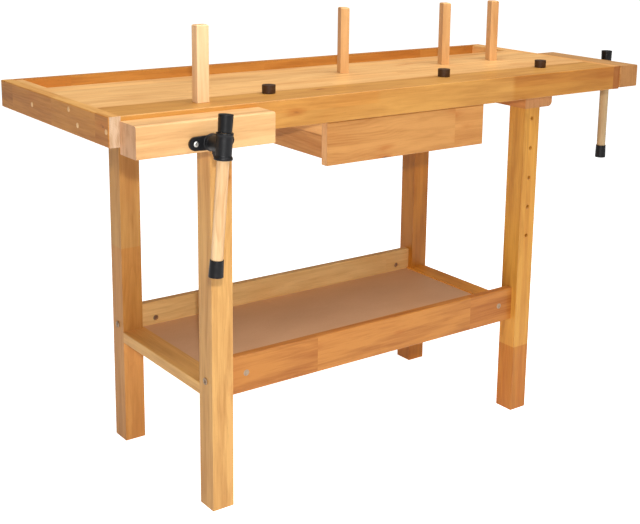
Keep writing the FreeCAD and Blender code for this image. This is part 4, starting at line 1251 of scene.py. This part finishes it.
@dataclass
class Studio:
    """Pale floor, soft lights and the camera."""

    eye: Triple = (-1.63743, -2.08919, 1.23917)
    yaw: float = 0.66658
    pitch: float = -0.2156
    roll: float = 0.02175
    lens: float = 65.35
    shift: tuple[float, float] = (-0.08524, -0.16)
    ambient: tuple[float, float] = (0.08, 0.17)
    bounce: float = 0.45
    floor: float = 30.0
    subject: Triple = (0.0, 0.0, 0.6)
    flash_offset: Triple = (0.03, 0.0, 0.17)
    flash: tuple[float, float] = (0.06, 34.0)
    softbox_spot: Triple = (0.1, -0.6, 3.0)
    softbox: tuple[float, float] = (2.6, 88.0)

    def build(self) -> None:
        """Lay the floor, hang the lights and set up the camera."""
        self.lay_floor()
        self.light()
        self.aim()

    def lay_floor(self) -> None:
        """Large matt floor."""
        shape = bmesh.new()
        bmesh.ops.create_grid(shape, x_segments=1, y_segments=1, size=self.floor)
        floor = from_bmesh("studio_floor", shape)
        graph = Graph("floor_paint")
        cloud = graph.noise((0.6, 0.6, 0.6))
        seen = graph.node("ShaderNodeLightPath", output="Is Camera Ray")
        dim = (self.bounce, self.bounce, self.bounce, 1.0)
        glow = {"Emission Color": graph.mix(seen, dim, rgb(255, 255, 255)), "Emission Strength": 1.0}
        white = graph.mix(cloud * 0.1, rgb(250, 250, 250), rgb(246, 245, 243))
        paint(floor, graph.finish(glow, white, 0.9, cloud, 0.1 * MM))

    def light(self) -> None:
        """White surroundings, a flash in front of the bench and a softbox above it."""
        world = bpy.data.worlds.new("studio")
        bpy.context.scene.world = world
        world.use_nodes = True
        tree = world.node_tree
        heading = add_node(tree, "ShaderNodeTexCoord")
        split = add_node(tree, "ShaderNodeSeparateXYZ", {0: heading.outputs["Generated"]})
        low, high = self.ambient
        ramp = {"Value": split.outputs["X"], "From Min": -1.0, "To Min": low, "To Max": high}
        glow = add_node(tree, "ShaderNodeMapRange", ramp)
        seen = add_node(tree, "ShaderNodeLightPath").outputs["Is Camera Ray"]
        strength = add_node(tree, "ShaderNodeMapRange", {"Value": seen, "To Min": glow})
        backdrop = tree.nodes["Background"].inputs
        backdrop["Color"].default_value = (1.0, 1.0, 1.0, 1.0)
        tree.links.new(strength.outputs[0], backdrop["Strength"])
        flash_spot = Vector(self.eye) + Vector(self.flash_offset)
        self.hang("flash", flash_spot, *self.flash)
        self.hang("softbox", Vector(self.softbox_spot), *self.softbox)
        bpy.context.scene.view_settings.view_transform = "Standard"

    def hang(self, name: str, spot: Vector, size: float, power: float) -> None:
        """Hang a square lamp that faces the bench.

        Args:
            name: The lamp's name.
            spot: Where it hangs.
            size: Its width in metres.
            power: Its power in watts.
        """
        lamp = bpy.data.lights.new(name, "AREA")
        lamp.size = size
        lamp.energy = power
        item = new_object(name, lamp)
        item.location = spot
        item.rotation_euler = (Vector(self.subject) - spot).to_track_quat("-Z", "Y").to_euler()

    def aim(self) -> None:
        """Create the camera."""
        heading = Matrix.Rotation(-self.yaw, 4, "Z") @ Matrix.Rotation(math.pi / 2 + self.pitch, 4, "X")
        lens = bpy.data.cameras.new("bench_view")
        lens.lens = self.lens
        lens.shift_x, lens.shift_y = self.shift
        camera = new_object("bench_view", lens)
        camera.matrix_world = Matrix.Translation(self.eye) @ heading @ Matrix.Rotation(self.roll, 4, "Z")
        bpy.context.scene.camera = camera


def main() -> None:
    """Build every sub-assembly in order."""
    logging.basicConfig(level=logging.INFO, format="%(name)s: %(message)s")
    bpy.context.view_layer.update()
    palette = Palette()
    fasteners = Fasteners()
    thread = ScrewThread()
    BenchTop(palette, fasteners).build()
    Underframe(palette, fasteners).build()
    Drawer(palette).build()
    kit = (palette, fasteners, thread)
    front = Vector((middle("front_guide_rods").x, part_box("front_beam")[0][1], middle("front_screw").z))
    jaw = Timber("front_jaw_timber", rgb(230, 183, 126), end=rgb(213, 165, 127), seed=71.0, stave=0.031, contrast=0.4)
    Vise("front", *kit, front, jaw, rgb(240, 200, 150), turn=0.0, tilt=4.5, handle=303.0, wall=100.0, rod_offset=100.0,
         rod_lift=13.0).build()
    tail = Vector((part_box("end_cap_right")[1][0], middle("tail_guide_rods").y, middle("tail_screw").z))
    jaw = Timber("tail_jaw_timber", rgb(202, 152, 94), Grain.WIDTH, rgb(176, 121, 68), seed=72.0)
    Vise("tail", *kit, tail, jaw, rgb(196, 170, 128), turn=math.pi / 2, tilt=0.0, handle=287.0, wall=44.0,
         rod_offset=85.0, rod_lift=0.0).build()
    DogsAndPegs().build()
    Studio().build()


if __name__ == "__main__":
    main()
